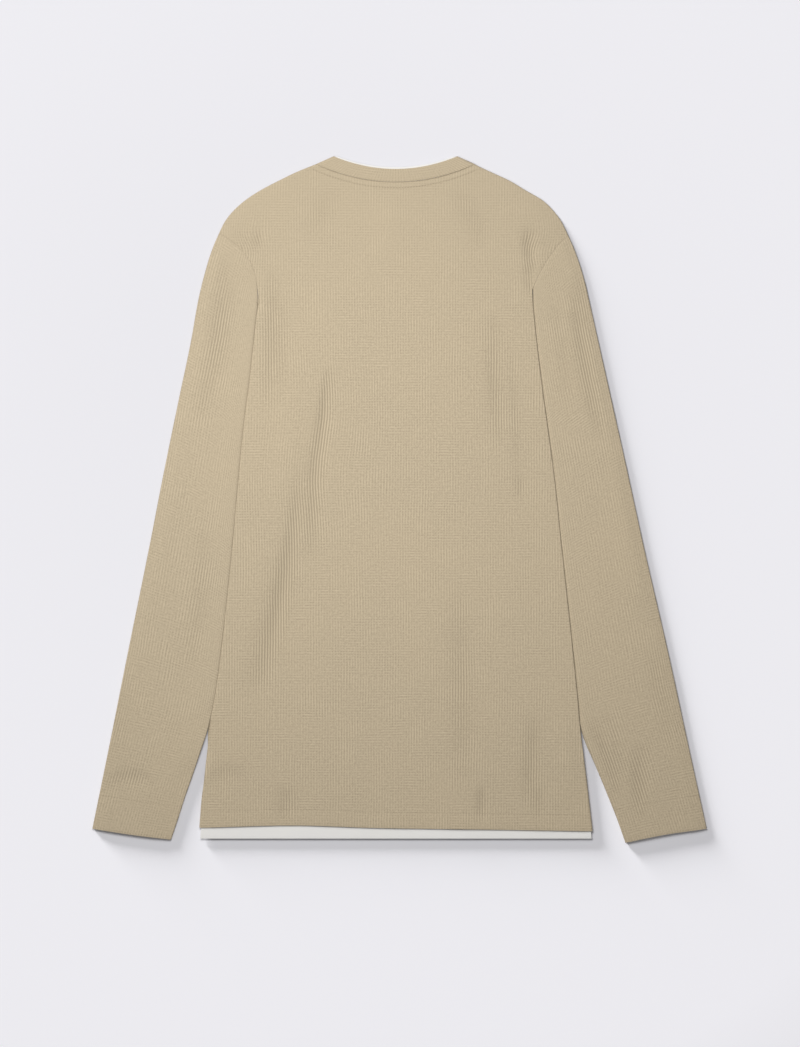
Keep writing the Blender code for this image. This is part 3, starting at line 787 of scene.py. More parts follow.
def cloth_mesh(
    name: str,
    laid: Laid,
    thickness: float,
    rims: Sequence[Array],
    ring: bool,
    sewn: Relief | None = None,
    drawn_and_shade: Relief | None = None,
) -> bpy.types.Object:
    """A wall of cloth round a grid, as a closed mesh with its grain as a UV map.

    Args:
        name: The piece's name.
        laid: The grid that the wall is built round.
        thickness: The wall's thickness.
        rims: The lines where the cloth ends and its wall is rounded.
        ring: Whether the last column meets the first.
        sewn: Gives the signed distance from the piece's rows of stitches.
        drawn_and_shade: Gives how far creases draw its ribs together, and so the painted shade in their
            troughs.

    Returns:
        The new object, linked to the scene.
    """
    rows, columns = laid.places.shape[:2]
    share = rim_share(laid.places[..., :2].reshape(-1, 2), rims, thickness).reshape(rows, columns, 1)
    offset = laid.facing * share * thickness / 2
    vertices = np.concatenate([(laid.places + offset).reshape(-1, 3), (laid.places - offset).reshape(-1, 3)])
    index = np.arange(rows * columns).reshape(rows, columns)
    across = np.concatenate([index, index[:, :1]], axis=1) if ring else index
    low, high = across[:-1], across[1:]
    quads = np.stack([low[:, :-1], low[:, 1:], high[:, 1:], high[:, :-1]], axis=-1).reshape(-1, 4)
    back = quads[:, ::-1] + rows * columns

    def strip(line: Array) -> Array:
        """The faces that close the wall along a line of its points."""
        a, b = line[:-1], line[1:]
        return np.stack([b, a, a + rows * columns, b + rows * columns], axis=-1)

    closing = [strip(across[0]), strip(across[-1][::-1])]
    if not ring:
        closing += [strip(index[::-1, 0]), strip(index[:, -1])]
    faces = np.concatenate([quads, back, *closing])
    if signed_volume(vertices, faces) < 0:
        faces = faces[:, ::-1]
    mesh = bpy.data.meshes.new(name)
    mesh.from_pydata((vertices * METRES).tolist(), [], faces.tolist())
    grain = np.concatenate([laid.grain.reshape(-1, 2)] * 2) * METRES
    layer = mesh.uv_layers.new(name=GRAIN)
    loops = np.zeros(len(mesh.loops), np.int32)
    mesh.loops.foreach_get("vertex_index", loops)
    layer.data.foreach_set("uv", grain[loops].astype(np.float32).ravel())
    points = laid.places[..., :2].reshape(-1, 2)
    far = np.clip(sewn(points), -FAR, FAR) if sewn else np.full(len(points), FAR)
    creased = drawn_and_shade(points) if drawn_and_shade else np.zeros(len(points))
    for kind, values in ((SEWN, far * METRES), (DRAWN_AND_SHADE, creased)):
        attribute = mesh.attributes.new(kind, "FLOAT", "POINT")
        attribute.data.foreach_set("value", np.concatenate([values, values]).astype(np.float32))
    mesh.shade_smooth()
    mesh.set_sharp_from_angle(angle=SHARP_ANGLE)
    return linked(name, mesh)


def linked(name: str, data: bpy.types.ID) -> bpy.types.Object:
    """A new object in the scene."""
    made = bpy.data.objects.new(name, data)
    bpy.context.scene.collection.objects.link(made)
    return made


def signed_volume(vertices: Array, faces: Array) -> float:
    """The volume inside a closed mesh of quads, below 0 if it is inside out."""
    a, b, c, d = (vertices[faces[:, corner]] for corner in range(4))
    return float(np.einsum("ij,ij->i", np.cross(b - a, c - a) + np.cross(c - a, d - a), a + c).sum())


# Sides, neck and hem of the pattern


@dataclass
class Side:
    """The lines of one side of the garment, all as arrays of points from top to bottom.

    The body or the sleeve lies on top along the lap. beside_lap and low_ramp say how far past
    the lap the other one stays flat and over what width it then rises.
    """

    name: str
    sign: int
    armhole_stations: tuple[Station, ...]
    cuff_stations: tuple[Station, ...]
    creases: tuple[Crease, ...]
    body_on_top: bool
    beside_lap: float
    low_ramp: float
    points: int = 60

    def __post_init__(self) -> None:
        """Draws the curves through the stations."""
        self.armhole = stations_curve(self.armhole_stations, 34)
        self.cuff = stations_curve(self.cuff_stations, 40)

    def order(self, path: Array) -> Array:
        """A line that runs down, turned so that the garment is on its right."""
        return path if self.sign > 0 else path[::-1]

    def moved_in(self, path: Array, distance: float, inward: int) -> Array:
        """A path that runs down, moved towards +X (inward 1) or -X (inward -1)."""
        return np.asarray(path, float) + normals_of(path) * distance * inward

    def outline(self, top: float, bottom: float, distance: float) -> Array:
        """The outer edge between two heights, moved in by distance.

        Args:
            top: The upper height.
            bottom: The lower height.
            distance: How far in the line lies.

        Returns:
            The line's points, from top to bottom.
        """
        ys = np.linspace(top, bottom, self.points)
        path = np.column_stack([column(OUTLINE, self.name, ys), ys])
        return self.moved_in(path, distance, -self.sign)

    def shoulder(self, distance: float) -> Array:
        """The outer edge from the neck point down to the armhole."""
        return self.outline(NECK.point_y, self.armhole[0, 1], distance)

    def sleeve_outer(self, distance: float) -> Array:
        """The outer edge from the armhole down to the cuff."""
        return self.outline(self.armhole[0, 1], self.cuff[0, 1], distance)

    def lapped(self, ys: Array) -> Array:
        """1 where one edge lies on the other, 0 well away from there.

        Args:
            ys: Heights along the edge.

        Returns:
            A share for each height.
        """
        top = self.armhole[-1, 1]
        below = (ys - APEX_Y + FIT.unlapped_by) / FIT.unlapped_over
        return smooth((top - ys) / FIT.fold_start) * smooth(below)

    def closed(self, ys: Array, on_top: bool) -> Array:
        """How far the cloth of an edge comes together: the one below waits until it is covered."""
        start, span = (0.0, FIT.fold_start) if on_top else (0.8 * FIT.fold_start, FIT.lap_start)
        return smooth((self.armhole[-1, 1] - start - ys) / span)

    def lap(self, ys: Array) -> Array:
        """How far the edge below reaches under the edge on top.

        Args:
            ys: Heights along the edge.

        Returns:
            A distance for each height.
        """
        top = self.armhole[-1, 1] - FIT.fold_start / 2
        grown = smooth((top - ys) / FIT.lap_start) * smooth((ys - APEX_Y) / FIT.lap_start)
        return FIT.lap * grown

    def fold_half(self, path: Array) -> Array:
        """The half height along the outer edge, which is pressed a little away from the neck."""
        return mix(FIT.open_half, FIT.fold_half, smooth((FIT.fold_from - path[:, 1]) / FIT.fold_within))

    def edge_values(self, ys: Array, on_top: bool, free_half: float = FIT.open_half) -> dict[str, Array]:
        """The half height, lift and flat width of the edge on top, or of the one below.

        Args:
            ys: Heights along the edge.
            on_top: Whether this is the edge on top.
            free_half: The half height where the sleeve and the body have parted.

        Returns:
            The values of Edge by name, each with one number for each height.
        """
        lapped = self.lapped(ys)
        half = mix(FIT.open_half, free_half, smooth((APEX_Y - ys) / FIT.lap_start))
        half = mix(half, FIT.pressed_half, lapped)
        beside = FIT.top_beside_lap if on_top else self.beside_lap
        flat = np.maximum(self.lap(ys) + beside * lapped, 0.0)
        return {"half": half, "lift": FIT.over * lapped * on_top, "flat": flat}

    def inner_line(self, piece: str, ys: Array) -> Array:
        """X of the sleeve's inner edge or of the body's side.

        Args:
            piece: "sleeve" or "body".
            ys: Heights along the edge.

        Returns:
            X at each height.
        """
        on_top = self.body_on_top == (piece == "body")
        hidden = 0.0 if on_top else self.lap(ys)
        way = self.sign if piece == "body" else -self.sign
        return column(INNER, f"{self.name}_{piece}", ys) + way * (hidden - FIT.seam / 2)

    def body_side(self, ys: Array) -> tuple[Array, Array]:
        """The body's side below the armhole, as the middle of its cloth, and how far it is closed.

        Args:
            ys: Heights along the side.

        Returns:
            The side's points and a share for each.
        """
        closed = self.closed(ys, self.body_on_top)
        x = self.inner_line("body", ys) - self.sign * closed * FIT.cloth / 2
        return np.column_stack([x, ys]), closed

    def sleeve_inner(self, ys: Array) -> Array:
        """The sleeve's inner edge, as the middle of its cloth."""
        return np.column_stack([self.inner_line("sleeve", ys) + self.sign * FIT.cloth / 2, ys])


@dataclass(frozen=True)
class Neckline:
    """The neck: the free edge of the band and the seam that it is sewn on with."""

    middle: float = -4.3
    edge_half_width: float = 66.8
    seam_half_width: float = 85.5
    point_y: float = 368.0
    seam_point_y: float = 359.6
    back_edge_y: float = 354.2
    back_seam_y: float = 340.4
    front_edge_y: float = 293.0
    front_seam_y: float = 278.5
    back_power: float = 2.0
    front_power: float = 2.6
    fold_sine: float = 0.72
    gap_at_ends: float = 0.6
    angle_step: float = 3.0

    def curve(self, line: tuple[float, float, float, float], distance: float, shares: Array) -> Array:
        """A neckline at shares from -1 to 1, trimmed where it is distance from the outline.

        Args:
            line: Its half width, its height at the ends and in the middle, and its power.
            distance: How far in from the outline it ends.
            shares: Where its points lie.

        Returns:
            The neckline's points.
        """
        half_width, end_y, middle_y, power = line
        t = np.asarray(shares) * (1 - distance / (half_width * self.fold_sine))
        rise = (end_y - middle_y) * np.abs(t) ** power
        return np.column_stack([self.middle + half_width * t, middle_y + rise])

    def lines(self, layer: Layer) -> tuple[tuple[float, float, float, float], ...]:
        """The free edge and the seam, as settings for curve.

        Args:
            layer: The cloth that the neckline belongs to.

        Returns:
            The two lines.
        """
        if layer is Layer.FRONT:
            edge = (self.edge_half_width, self.point_y, self.front_edge_y, self.front_power)
            return edge, (self.seam_half_width, self.seam_point_y, self.front_seam_y, self.front_power)
        edge = (self.edge_half_width, self.point_y, self.back_edge_y, self.back_power)
        return edge, (self.seam_half_width, self.seam_point_y, self.back_seam_y, self.back_power)

    def shares(self) -> Array:
        """Stations along a neckline, close together where it rolls over the fold.

        Returns:
            Shares from -1 to 1.
        """
        roll = FIT.open_half * (1 - np.cos(ROLL_ANGLES))
        end = 1 - roll / (self.seam_half_width * self.fold_sine)
        angles = np.radians(np.arange(-84, 84.1, self.angle_step))
        middle = np.sin(angles) / math.sin(math.radians(87.0)) * end[-1]
        return np.concatenate([-end, middle, end[::-1]])

    def gap(self, shares: Array) -> Array:
        """Half the seam's gap, measured along the band, which meets the seam aslant at its ends."""
        return FIT.joint / 2 * (1 + self.gap_at_ends * np.abs(shares) ** 8)

    def across(self, layer: Layer, distance: float, shares: Array, reach: Array) -> Array:
        """Points beside the neckline: reach is measured from the seam towards the free edge.

        Args:
            layer: The cloth that the neckline belongs to.
            distance: How far in from the outline it ends.
            shares: Where its points lie.
            reach: How far each point is from the seam.

        Returns:
            The points.
        """
        edge, seam = self.lines(layer)
        start = self.curve(seam, distance, shares)
        way = unit(self.curve(edge, distance, shares) - start)
        return start + way * np.reshape(reach, (-1, 1))

    def width(self, layer: Layer, distance: float, shares: Array) -> Array:
        """The width of the neckband at each station."""
        edge, seam = (self.curve(line, distance, shares) for line in self.lines(layer))
        return np.linalg.norm(edge - seam, axis=1)

    def below_seam(self, layer: Layer, distance: float, end: float = 0.985) -> Array:
        """A line on the panel, at a distance from the seam.

        Args:
            layer: The panel's layer.
            distance: How far below the seam the line runs.
            end: How far out it goes, as a share of the seam.

        Returns:
            The line's points.
        """
        shares = np.linspace(-end, end, 90)
        seam = self.curve(self.lines(layer)[1], 0.0, shares)
        return seam - normals_of(seam) * distance


NECK = Neckline()
LEFT = Side("left", -1, LEFT_ARMHOLE, LEFT_CUFF, LEFT_SLEEVE_CREASES, False, -3.8, 5.0)
RIGHT = Side("right", 1, RIGHT_ARMHOLE, RIGHT_CUFF, RIGHT_SLEEVE_CREASES, True, -0.9, 1.8)
SIDES = (LEFT, RIGHT)


def hem_at(x: Array) -> Array:
    """The height of the hem's fold."""
    return curve_at(*np.array(HEM, float).T, x)


def patch(
    bottom: Array, top: Array, left: Array, right: Array, u: Array, v: Array, reach: float = 1.0
) -> Array:
    """Points inside four lines.

    Args:
        bottom: The lower line's points at u, as a grid.
        top: The upper line's points at u, as a grid.
        left: The left line's points, one for each row.
        right: The right line's points, one for each row.
        u: Shares of the way across, as a grid.
        v: Shares of the way up, as a grid.
        reach: How far in from the sides their shape is felt, as a share of the width.

    Returns:
        A grid of points in X and Y.
    """
    left, right = left[:, None], right[:, None]
    u, v = u[..., None], v[..., None]
    left_bow = left - mix(left[:1], left[-1:], v)
    right_bow = right - mix(right[:1], right[-1:], v)
    inside = smooth(1 - u / reach) * left_bow + smooth(1 - (1 - u) / reach) * right_bow
    return mix(bottom, top, v) + inside


def shoulder_edges(distance: float, half: float | None = None) -> list[Edge]:
    """The folds over both shoulders, lengthened past the neck points.

    Args:
        distance: How far in from the outline the middle of the cloth lies.
        half: The half height along them, or None for the outer edge's own.

    Returns:
        An edge for each shoulder.
    """
    edges = []
    for side in SIDES:
        path = side.shoulder(distance)
        beyond = path[0] + (path[0] - path[8]) * 2
        path = side.order(np.concatenate([[beyond], path]))
        edges.append(Edge(path, half=half or side.fold_half(path)))
    return edges


def body_edges() -> list[Edge]:
    """The folds and seams round both panels.

    Returns:
        The edges of both shoulders and both sides.
    """
    edges = shoulder_edges(FIT.cloth / 2)
    for side in SIDES:
        ys = np.linspace(side.armhole[-1, 1], BELOW_ALL_Y, 90)
        path, closed = side.body_side(ys)
        values = side.edge_values(ys, side.body_on_top)
        values = {name: side.order(value) for name, value in values.items()}
        ramp = FIT.top_ramp if side.body_on_top else side.low_ramp
        edges.append(Edge(side.order(path), closed=side.order(closed), ramp=ramp, **values))
    return edges


def edge_steps(half: float, flat: float, ramp: float) -> Array:
    """Distances from an edge: round its roll, then across the flat and the ramp.

    Args:
        half: The edge's half height, which is its roll's radius.
        flat: The width of the flat beside it.
        ramp: The width of the ramp beyond.

    Returns:
        The distances, rising.
    """
    flat = max(flat, half)
    round_it = half * (1 - np.cos(ROLL_ANGLES))
    beyond = flat + 0.2 + ramp * np.array([0.0, 0.2, 0.4, 0.6, 0.8, 1.02])
    return np.concatenate([round_it, beyond])


# Finishes


class Term:
    """A shader socket that takes part in Python sums."""

    def __init__(self, graph: Graph, socket: bpy.types.NodeSocket) -> None:
        """Keeps the socket and the graph that it belongs to."""
        self.graph = graph
        self.socket = socket

    def math(self, operation: str, *others: Term | float, first: bool = True) -> Term:
        """A Math node over this term and others, with this one first or last."""
        values = [self, *others] if first else [*others, self]
        return self.graph.term("ShaderNodeMath", {"operation": operation}, dict(enumerate(values)))

    def __add__(self, other: Term | float) -> Term:
        """The sum."""
        return self.math("ADD", other)

    def __sub__(self, other: Term | float) -> Term:
        """The difference."""
        return self.math("SUBTRACT", other)

    def __rsub__(self, other: float) -> Term:
        """A number less this term."""
        return self.math("SUBTRACT", other, first=False)

    def __truediv__(self, other: Term | float) -> Term:
        """The quotient."""
        return self.math("DIVIDE", other)

    def __rtruediv__(self, other: float) -> Term:
        """A number over this term."""
        return self.math("DIVIDE", other, first=False)

    def squared(self) -> Term:
        """The term times itself."""
        return self.math("MULTIPLY", self)

    def __mul__(self, other: Term | float) -> Term:
        """The product."""
        return self.math("MULTIPLY", other)

    __radd__ = __add__
    __rmul__ = __mul__

    def wave(self) -> Term:
        """A wave from 0 to 1 that repeats for each whole number."""
        return (self * (2 * math.pi)).math("COSINE") * 0.5 + 0.5

    def clamped(self) -> Term:
        """Held between 0 and 1."""
        return self.graph.term("ShaderNodeClamp", {}, {"Value": self})


class Graph:
    """A material's nodes."""

    def __init__(self, name: str) -> None:
        """Starts an empty material."""
        self.material = bpy.data.materials.new(name)
        self.material.use_nodes = True
        self.tree = self.material.node_tree
        self.tree.nodes.clear()

    def node(self, kind: str, settings: dict[str, object], values: dict[str | int, object]) -> bpy.types.Node:
        """A new node.

        Args:
            kind: The node's type.
            settings: Its own settings, set first.
            values: Its sockets' values, or the terms that are linked to them.

        Returns:
            The node.
        """
        made = self.tree.nodes.new(kind)
        for name, value in settings.items():
            setattr(made, name, value)
        for name, value in values.items():
            if isinstance(value, Term):
                self.tree.links.new(value.socket, made.inputs[name])
            else:
                made.inputs[name].default_value = value
        return made

    def term(
        self, kind: str, settings: dict[str, object], values: dict[str | int, object], output: str | int = 0
    ) -> Term:
        """One of a new node's outputs."""
        return Term(self, self.node(kind, settings, values).outputs[output])

    def mixed(self, low: object, high: object, share: Term | float) -> Term:
        """A colour between two colours."""
        settings = {"data_type": "RGBA", "clamp_factor": True}
        return self.term("ShaderNodeMix", settings, {0: share, 6: low, 7: high}, 2)

    def noise(self, vector: Term, scale: float, detail: float = 2.0, roughness: float = 0.5) -> Term:
        """Noise from 0 to 1."""
        values = {"Vector": vector, "Scale": scale, "Detail": detail, "Roughness": roughness}
        return self.term("ShaderNodeTexNoise", {}, values, 0)

    def grain(self) -> tuple[Term, Term, Term]:
        """The knit's own coordinates in metres: the vector and its two parts.

        Returns:
            The vector, its part across and its part up.
        """
        vector = self.term("ShaderNodeUVMap", {"uv_map": GRAIN}, {}, 0)
        parts = self.node("ShaderNodeSeparateXYZ", {}, {0: vector})
        return vector, Term(self, parts.outputs[0]), Term(self, parts.outputs[1])

    def place(self) -> Term:
        """The place on the object in metres."""
        return self.term("ShaderNodeTexCoord", {}, {}, "Object")

    def bump(self, height: Term, distance: float, strength: float, under: Term | None = None) -> Term:
        """A normal tilted by a height in units of distance.

        Args:
            height: The height.
            distance: The height's unit in metres.
            strength: How strongly it is felt.
            under: The normal that it tilts.

        Returns:
            The tilted normal.
        """
        values: dict[str | int, object] = {"Height": height, "Distance": distance, "Strength": strength}
        if under:
            values["Normal"] = under
        return self.term("ShaderNodeBump", {}, values, 0)

    def finish(
        self, colour: Term, roughness: Term | float, normal: Term | None, constants: dict[str, float]
    ) -> bpy.types.Material:
        """Joins colour, roughness and normal to the shader and the output.

        Args:
            colour: The base colour.
            roughness: The roughness.
            normal: The normal, or None for the surface's own.
            constants: Other sockets' values.

        Returns:
            The finished material.
        """
        values = {"Base Color": colour, "Roughness": roughness, **constants}
        if normal:
            values["Normal"] = normal
        shader = self.term("ShaderNodeBsdfPrincipled", {}, values)
        self.node("ShaderNodeOutputMaterial", {}, {"Surface": shader})
        return self.material


@dataclass(frozen=True)
class WaffleKnit:
    """Cotton waffle knit: a fine grid of ribs round small square pits, with painted shade in deep creases."""

    name: str = "waffle_knit"
    rib: tuple[float, float, float] = (0.437, 0.361, 0.251)
    pit: tuple[float, float, float] = (0.290, 0.238, 0.163)
    warm: tuple[float, float, float] = (0.450, 0.359, 0.238)
    pitch: float = 0.00292
    course: float = 0.00288
    relief: float = 0.0003
    groove: float = 0.00125
    stitch: float = 0.0031
    wobble: float = 24.0
    drift: float = 8.0
    rib_patches: tuple[float, float, float] = (58.0, 30.0, 30.0)
    course_patches: tuple[float, float, float] = (28.0, 64.0, 30.0)
    fuzz: float = 1500.0
    slub: float = 330.0
    speck: float = 610.0
    slot: str = "knit"

    def patches(self, graph: Graph, place: Term, scale: tuple[float, float, float], level: float) -> Term:
        """Soft patches of noise on the object, less a level.

        Args:
            graph: The material's nodes.
            place: The place on the object.
            scale: How fine the patches are along each axis.
            level: What is taken off the noise.

        Returns:
            The noise less the level.
        """
        scaled = graph.term("ShaderNodeMapping", {}, {0: place, "Scale": scale})
        return graph.noise(scaled, 1.0, 3.0, 0.6) - level

    def make(self) -> bpy.types.Material:
        """The material.

        Returns:
            The new material.
        """
        graph = Graph(self.name)
        vector, across, up = graph.grain()
        place = graph.place()
        wobble = graph.noise(vector, self.wobble, 2.0) - 0.5
        drift = graph.noise(vector, self.drift, 1.0) - 0.5
        ribs = (across * (1 / self.pitch) + wobble * 0.6 + drift * 1.3).wave()
        courses = (up * (1 / self.course) + wobble * 0.5 - drift * 1.1).wave()
        rib_share = (self.patches(graph, place, self.rib_patches, 0.38) * 3.2).clamped()
        course_share = (self.patches(graph, place, self.course_patches, 0.4) * 3.0).clamped()
        drawn_and_shade = graph.term("ShaderNodeAttribute", {"attribute_name": DRAWN_AND_SHADE}, {}, "Fac")
        rib_share = (rib_share + drawn_and_shade).clamped() * 0.75 + 0.25
        course_share = course_share * (1.0 - drawn_and_shade) * 0.7 + 0.2
        ridges = (ribs * rib_share).math("MAXIMUM", courses * course_share)
        mean = (rib_share + course_share) * 0.36
        fuzz = graph.noise(vector, self.fuzz, 3.0, 0.7)
        slub = graph.noise(vector, self.slub, 2.0, 0.6) - 0.5
        speck = graph.noise(vector, self.speck, 1.0, 0.5) - 0.5
        height = graph.term("ShaderNodeSeparateXYZ", {}, {0: place}, 1)
        eased = (height * 7.0 - 1.2).clamped()
        sewn = graph.term("ShaderNodeAttribute", {"attribute_name": SEWN}, {}, "Fac").math("ABSOLUTE")
        furrow = (1.0 - sewn * (1 / self.groove)).clamped().squared()
        stitch = (across * (1 / self.stitch)).wave() * 0.7 + 0.3
        relief = (mean - ridges) * (drawn_and_shade * 0.9 + 0.95 - eased * 0.3)
        specks = (slub * 0.7 + speck * 1.0) * (1.1 - eased * 0.6) + (fuzz - 0.5) * 0.3
        # Painted shade: the crease share darkens the colour in deep troughs and, more faintly, at the fans.
        pits = relief + specks + drawn_and_shade * 0.4 + 0.43 + furrow * stitch
        shade = graph.mixed((*self.rib, 1.0), (*self.pit, 1.0), pits.clamped())
        tint = graph.noise(place, 6.0, 2.0)
        colour = graph.mixed(shade, (*self.warm, 1.0), (tint - 0.42).clamped() * 0.35)
        normal = graph.bump(ridges - furrow * 0.9, self.relief, 0.55)
        normal = graph.bump(fuzz, 0.00005, 0.4, normal)
        constants = {"Sheen Weight": 0.1, "Sheen Roughness": 0.6, "Specular IOR Level": 0.15}
        return graph.finish(colour, fuzz * 0.1 + 0.9, normal, constants)


@dataclass(frozen=True)
class Jersey:
    """Off-white cotton jersey: fine wales of small loops."""

    name: str = "jersey"
    light: tuple[float, float, float] = (0.65, 0.638, 0.615)
    dark: tuple[float, float, float] = (0.53, 0.521, 0.503)
    wale: float = 0.0008
    slot: str = "jersey"

    def make(self) -> bpy.types.Material:
        """The material.

        Returns:
            The new material.
        """
        graph = Graph(self.name)
        vector, across, up = graph.grain()
        drift = graph.noise(vector, 30.0, 2.0) - 0.5
        wales = (across * (1 / self.wale) + drift * 0.8).wave()
        loops = (up * (1 / (self.wale * 1.2)) + drift * 0.6).wave()
        fuzz = graph.noise(vector, 3200.0, 2.0, 0.7)
        height = wales * 0.7 + loops * 0.3
        stain = graph.noise(graph.place(), 14.0, 2.0)
        share = ((1.0 - height) * 0.4 + (fuzz - 0.5) * 0.2 + (stain - 0.5) * 0.25).clamped()
        colour = graph.mixed((*self.light, 1.0), (*self.dark, 1.0), share)
        normal = graph.bump(height, 0.00012, 0.7)
        constants = {"Sheen Weight": 0.1, "Sheen Roughness": 0.5, "Specular IOR Level": 0.25}
        return graph.finish(colour, 0.88 + fuzz * 0.1, normal, constants)


@dataclass(frozen=True)
class Thread:
    """Spun sewing thread in the cloth's own colour."""

    name: str = "thread"
    light: tuple[float, float, float] = (0.45, 0.37, 0.255)
    dark: tuple[float, float, float] = (0.33, 0.27, 0.185)
    twist: float = 0.0004
    slot: str = "knit"

    def make(self) -> bpy.types.Material:
        """The material.

        Returns:
            The new material.
        """
        graph = Graph(self.name)
        place = graph.place()
        parts = graph.node("ShaderNodeSeparateXYZ", {}, {0: place})
        slant = Term(graph, parts.outputs[0]) + Term(graph, parts.outputs[1])
        plies = (slant * (1 / self.twist)).wave()
        colour = graph.mixed((*self.light, 1.0), (*self.dark, 1.0), (1.0 - plies) * 0.7)
        normal = graph.bump(plies, 0.00008, 0.6)
        return graph.finish(colour, 0.6 + plies * 0.1, normal, {"Specular IOR Level": 0.3})


@dataclass(frozen=True)
class StudioFloor:
    """Matte pale paper, darker where the lamp is close, so that it looks even."""

    name: str = "studio_floor"
    tint: tuple[float, float, float] = (0.997, 0.988, 1.031)
    brightness: float = 0.80
    even_light: float = 0.59
    lamp_light: float = 0.72

    def make(self, lamp: tuple[float, float, float]) -> bpy.types.Material:
        """The material, for a lamp at a place that faces the origin.

        Args:
            lamp: The lamp's place in metres.

        Returns:
            The new material.
        """
        graph = Graph(self.name)
        parts = graph.node("ShaderNodeSeparateXYZ", {}, {0: graph.place()})
        x, y = Term(graph, parts.outputs[0]), Term(graph, parts.outputs[1])
        reach = sum(part**2 for part in lamp)
        square = (x - lamp[0]).squared() + (y - lamp[1]).squared() + lamp[2] ** 2
        facing = reach - x * lamp[0] - y * lamp[1]
        light = facing * (self.lamp_light * reach) / square.squared() + self.even_light
        value = (self.brightness / light).math("MINIMUM", 0.97)
        black, white = (0.0, 0.0, 0.0, 1.0), (*self.tint, 1.0)
        return graph.finish(graph.mixed(black, white, value), 0.95, None, {"Specular IOR Level": 0.0})


# Pieces


@dataclass(frozen=True)
class Cut:
    """A piece's flat cut in metres: width, length and area."""

    width: float
    length: float
    area: float


def hand_over(
    piece: bpy.types.Object,
    node: str,
) -> None:
    """Gives a cloth piece its body and hides the solid that it stands for.

    Args:
        piece: The piece.
        node: The solid that it stands for.
    """
    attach(piece, BODY)
    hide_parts(node)
    LOG.info("%s: %d faces", piece.name, len(piece.data.polygons))


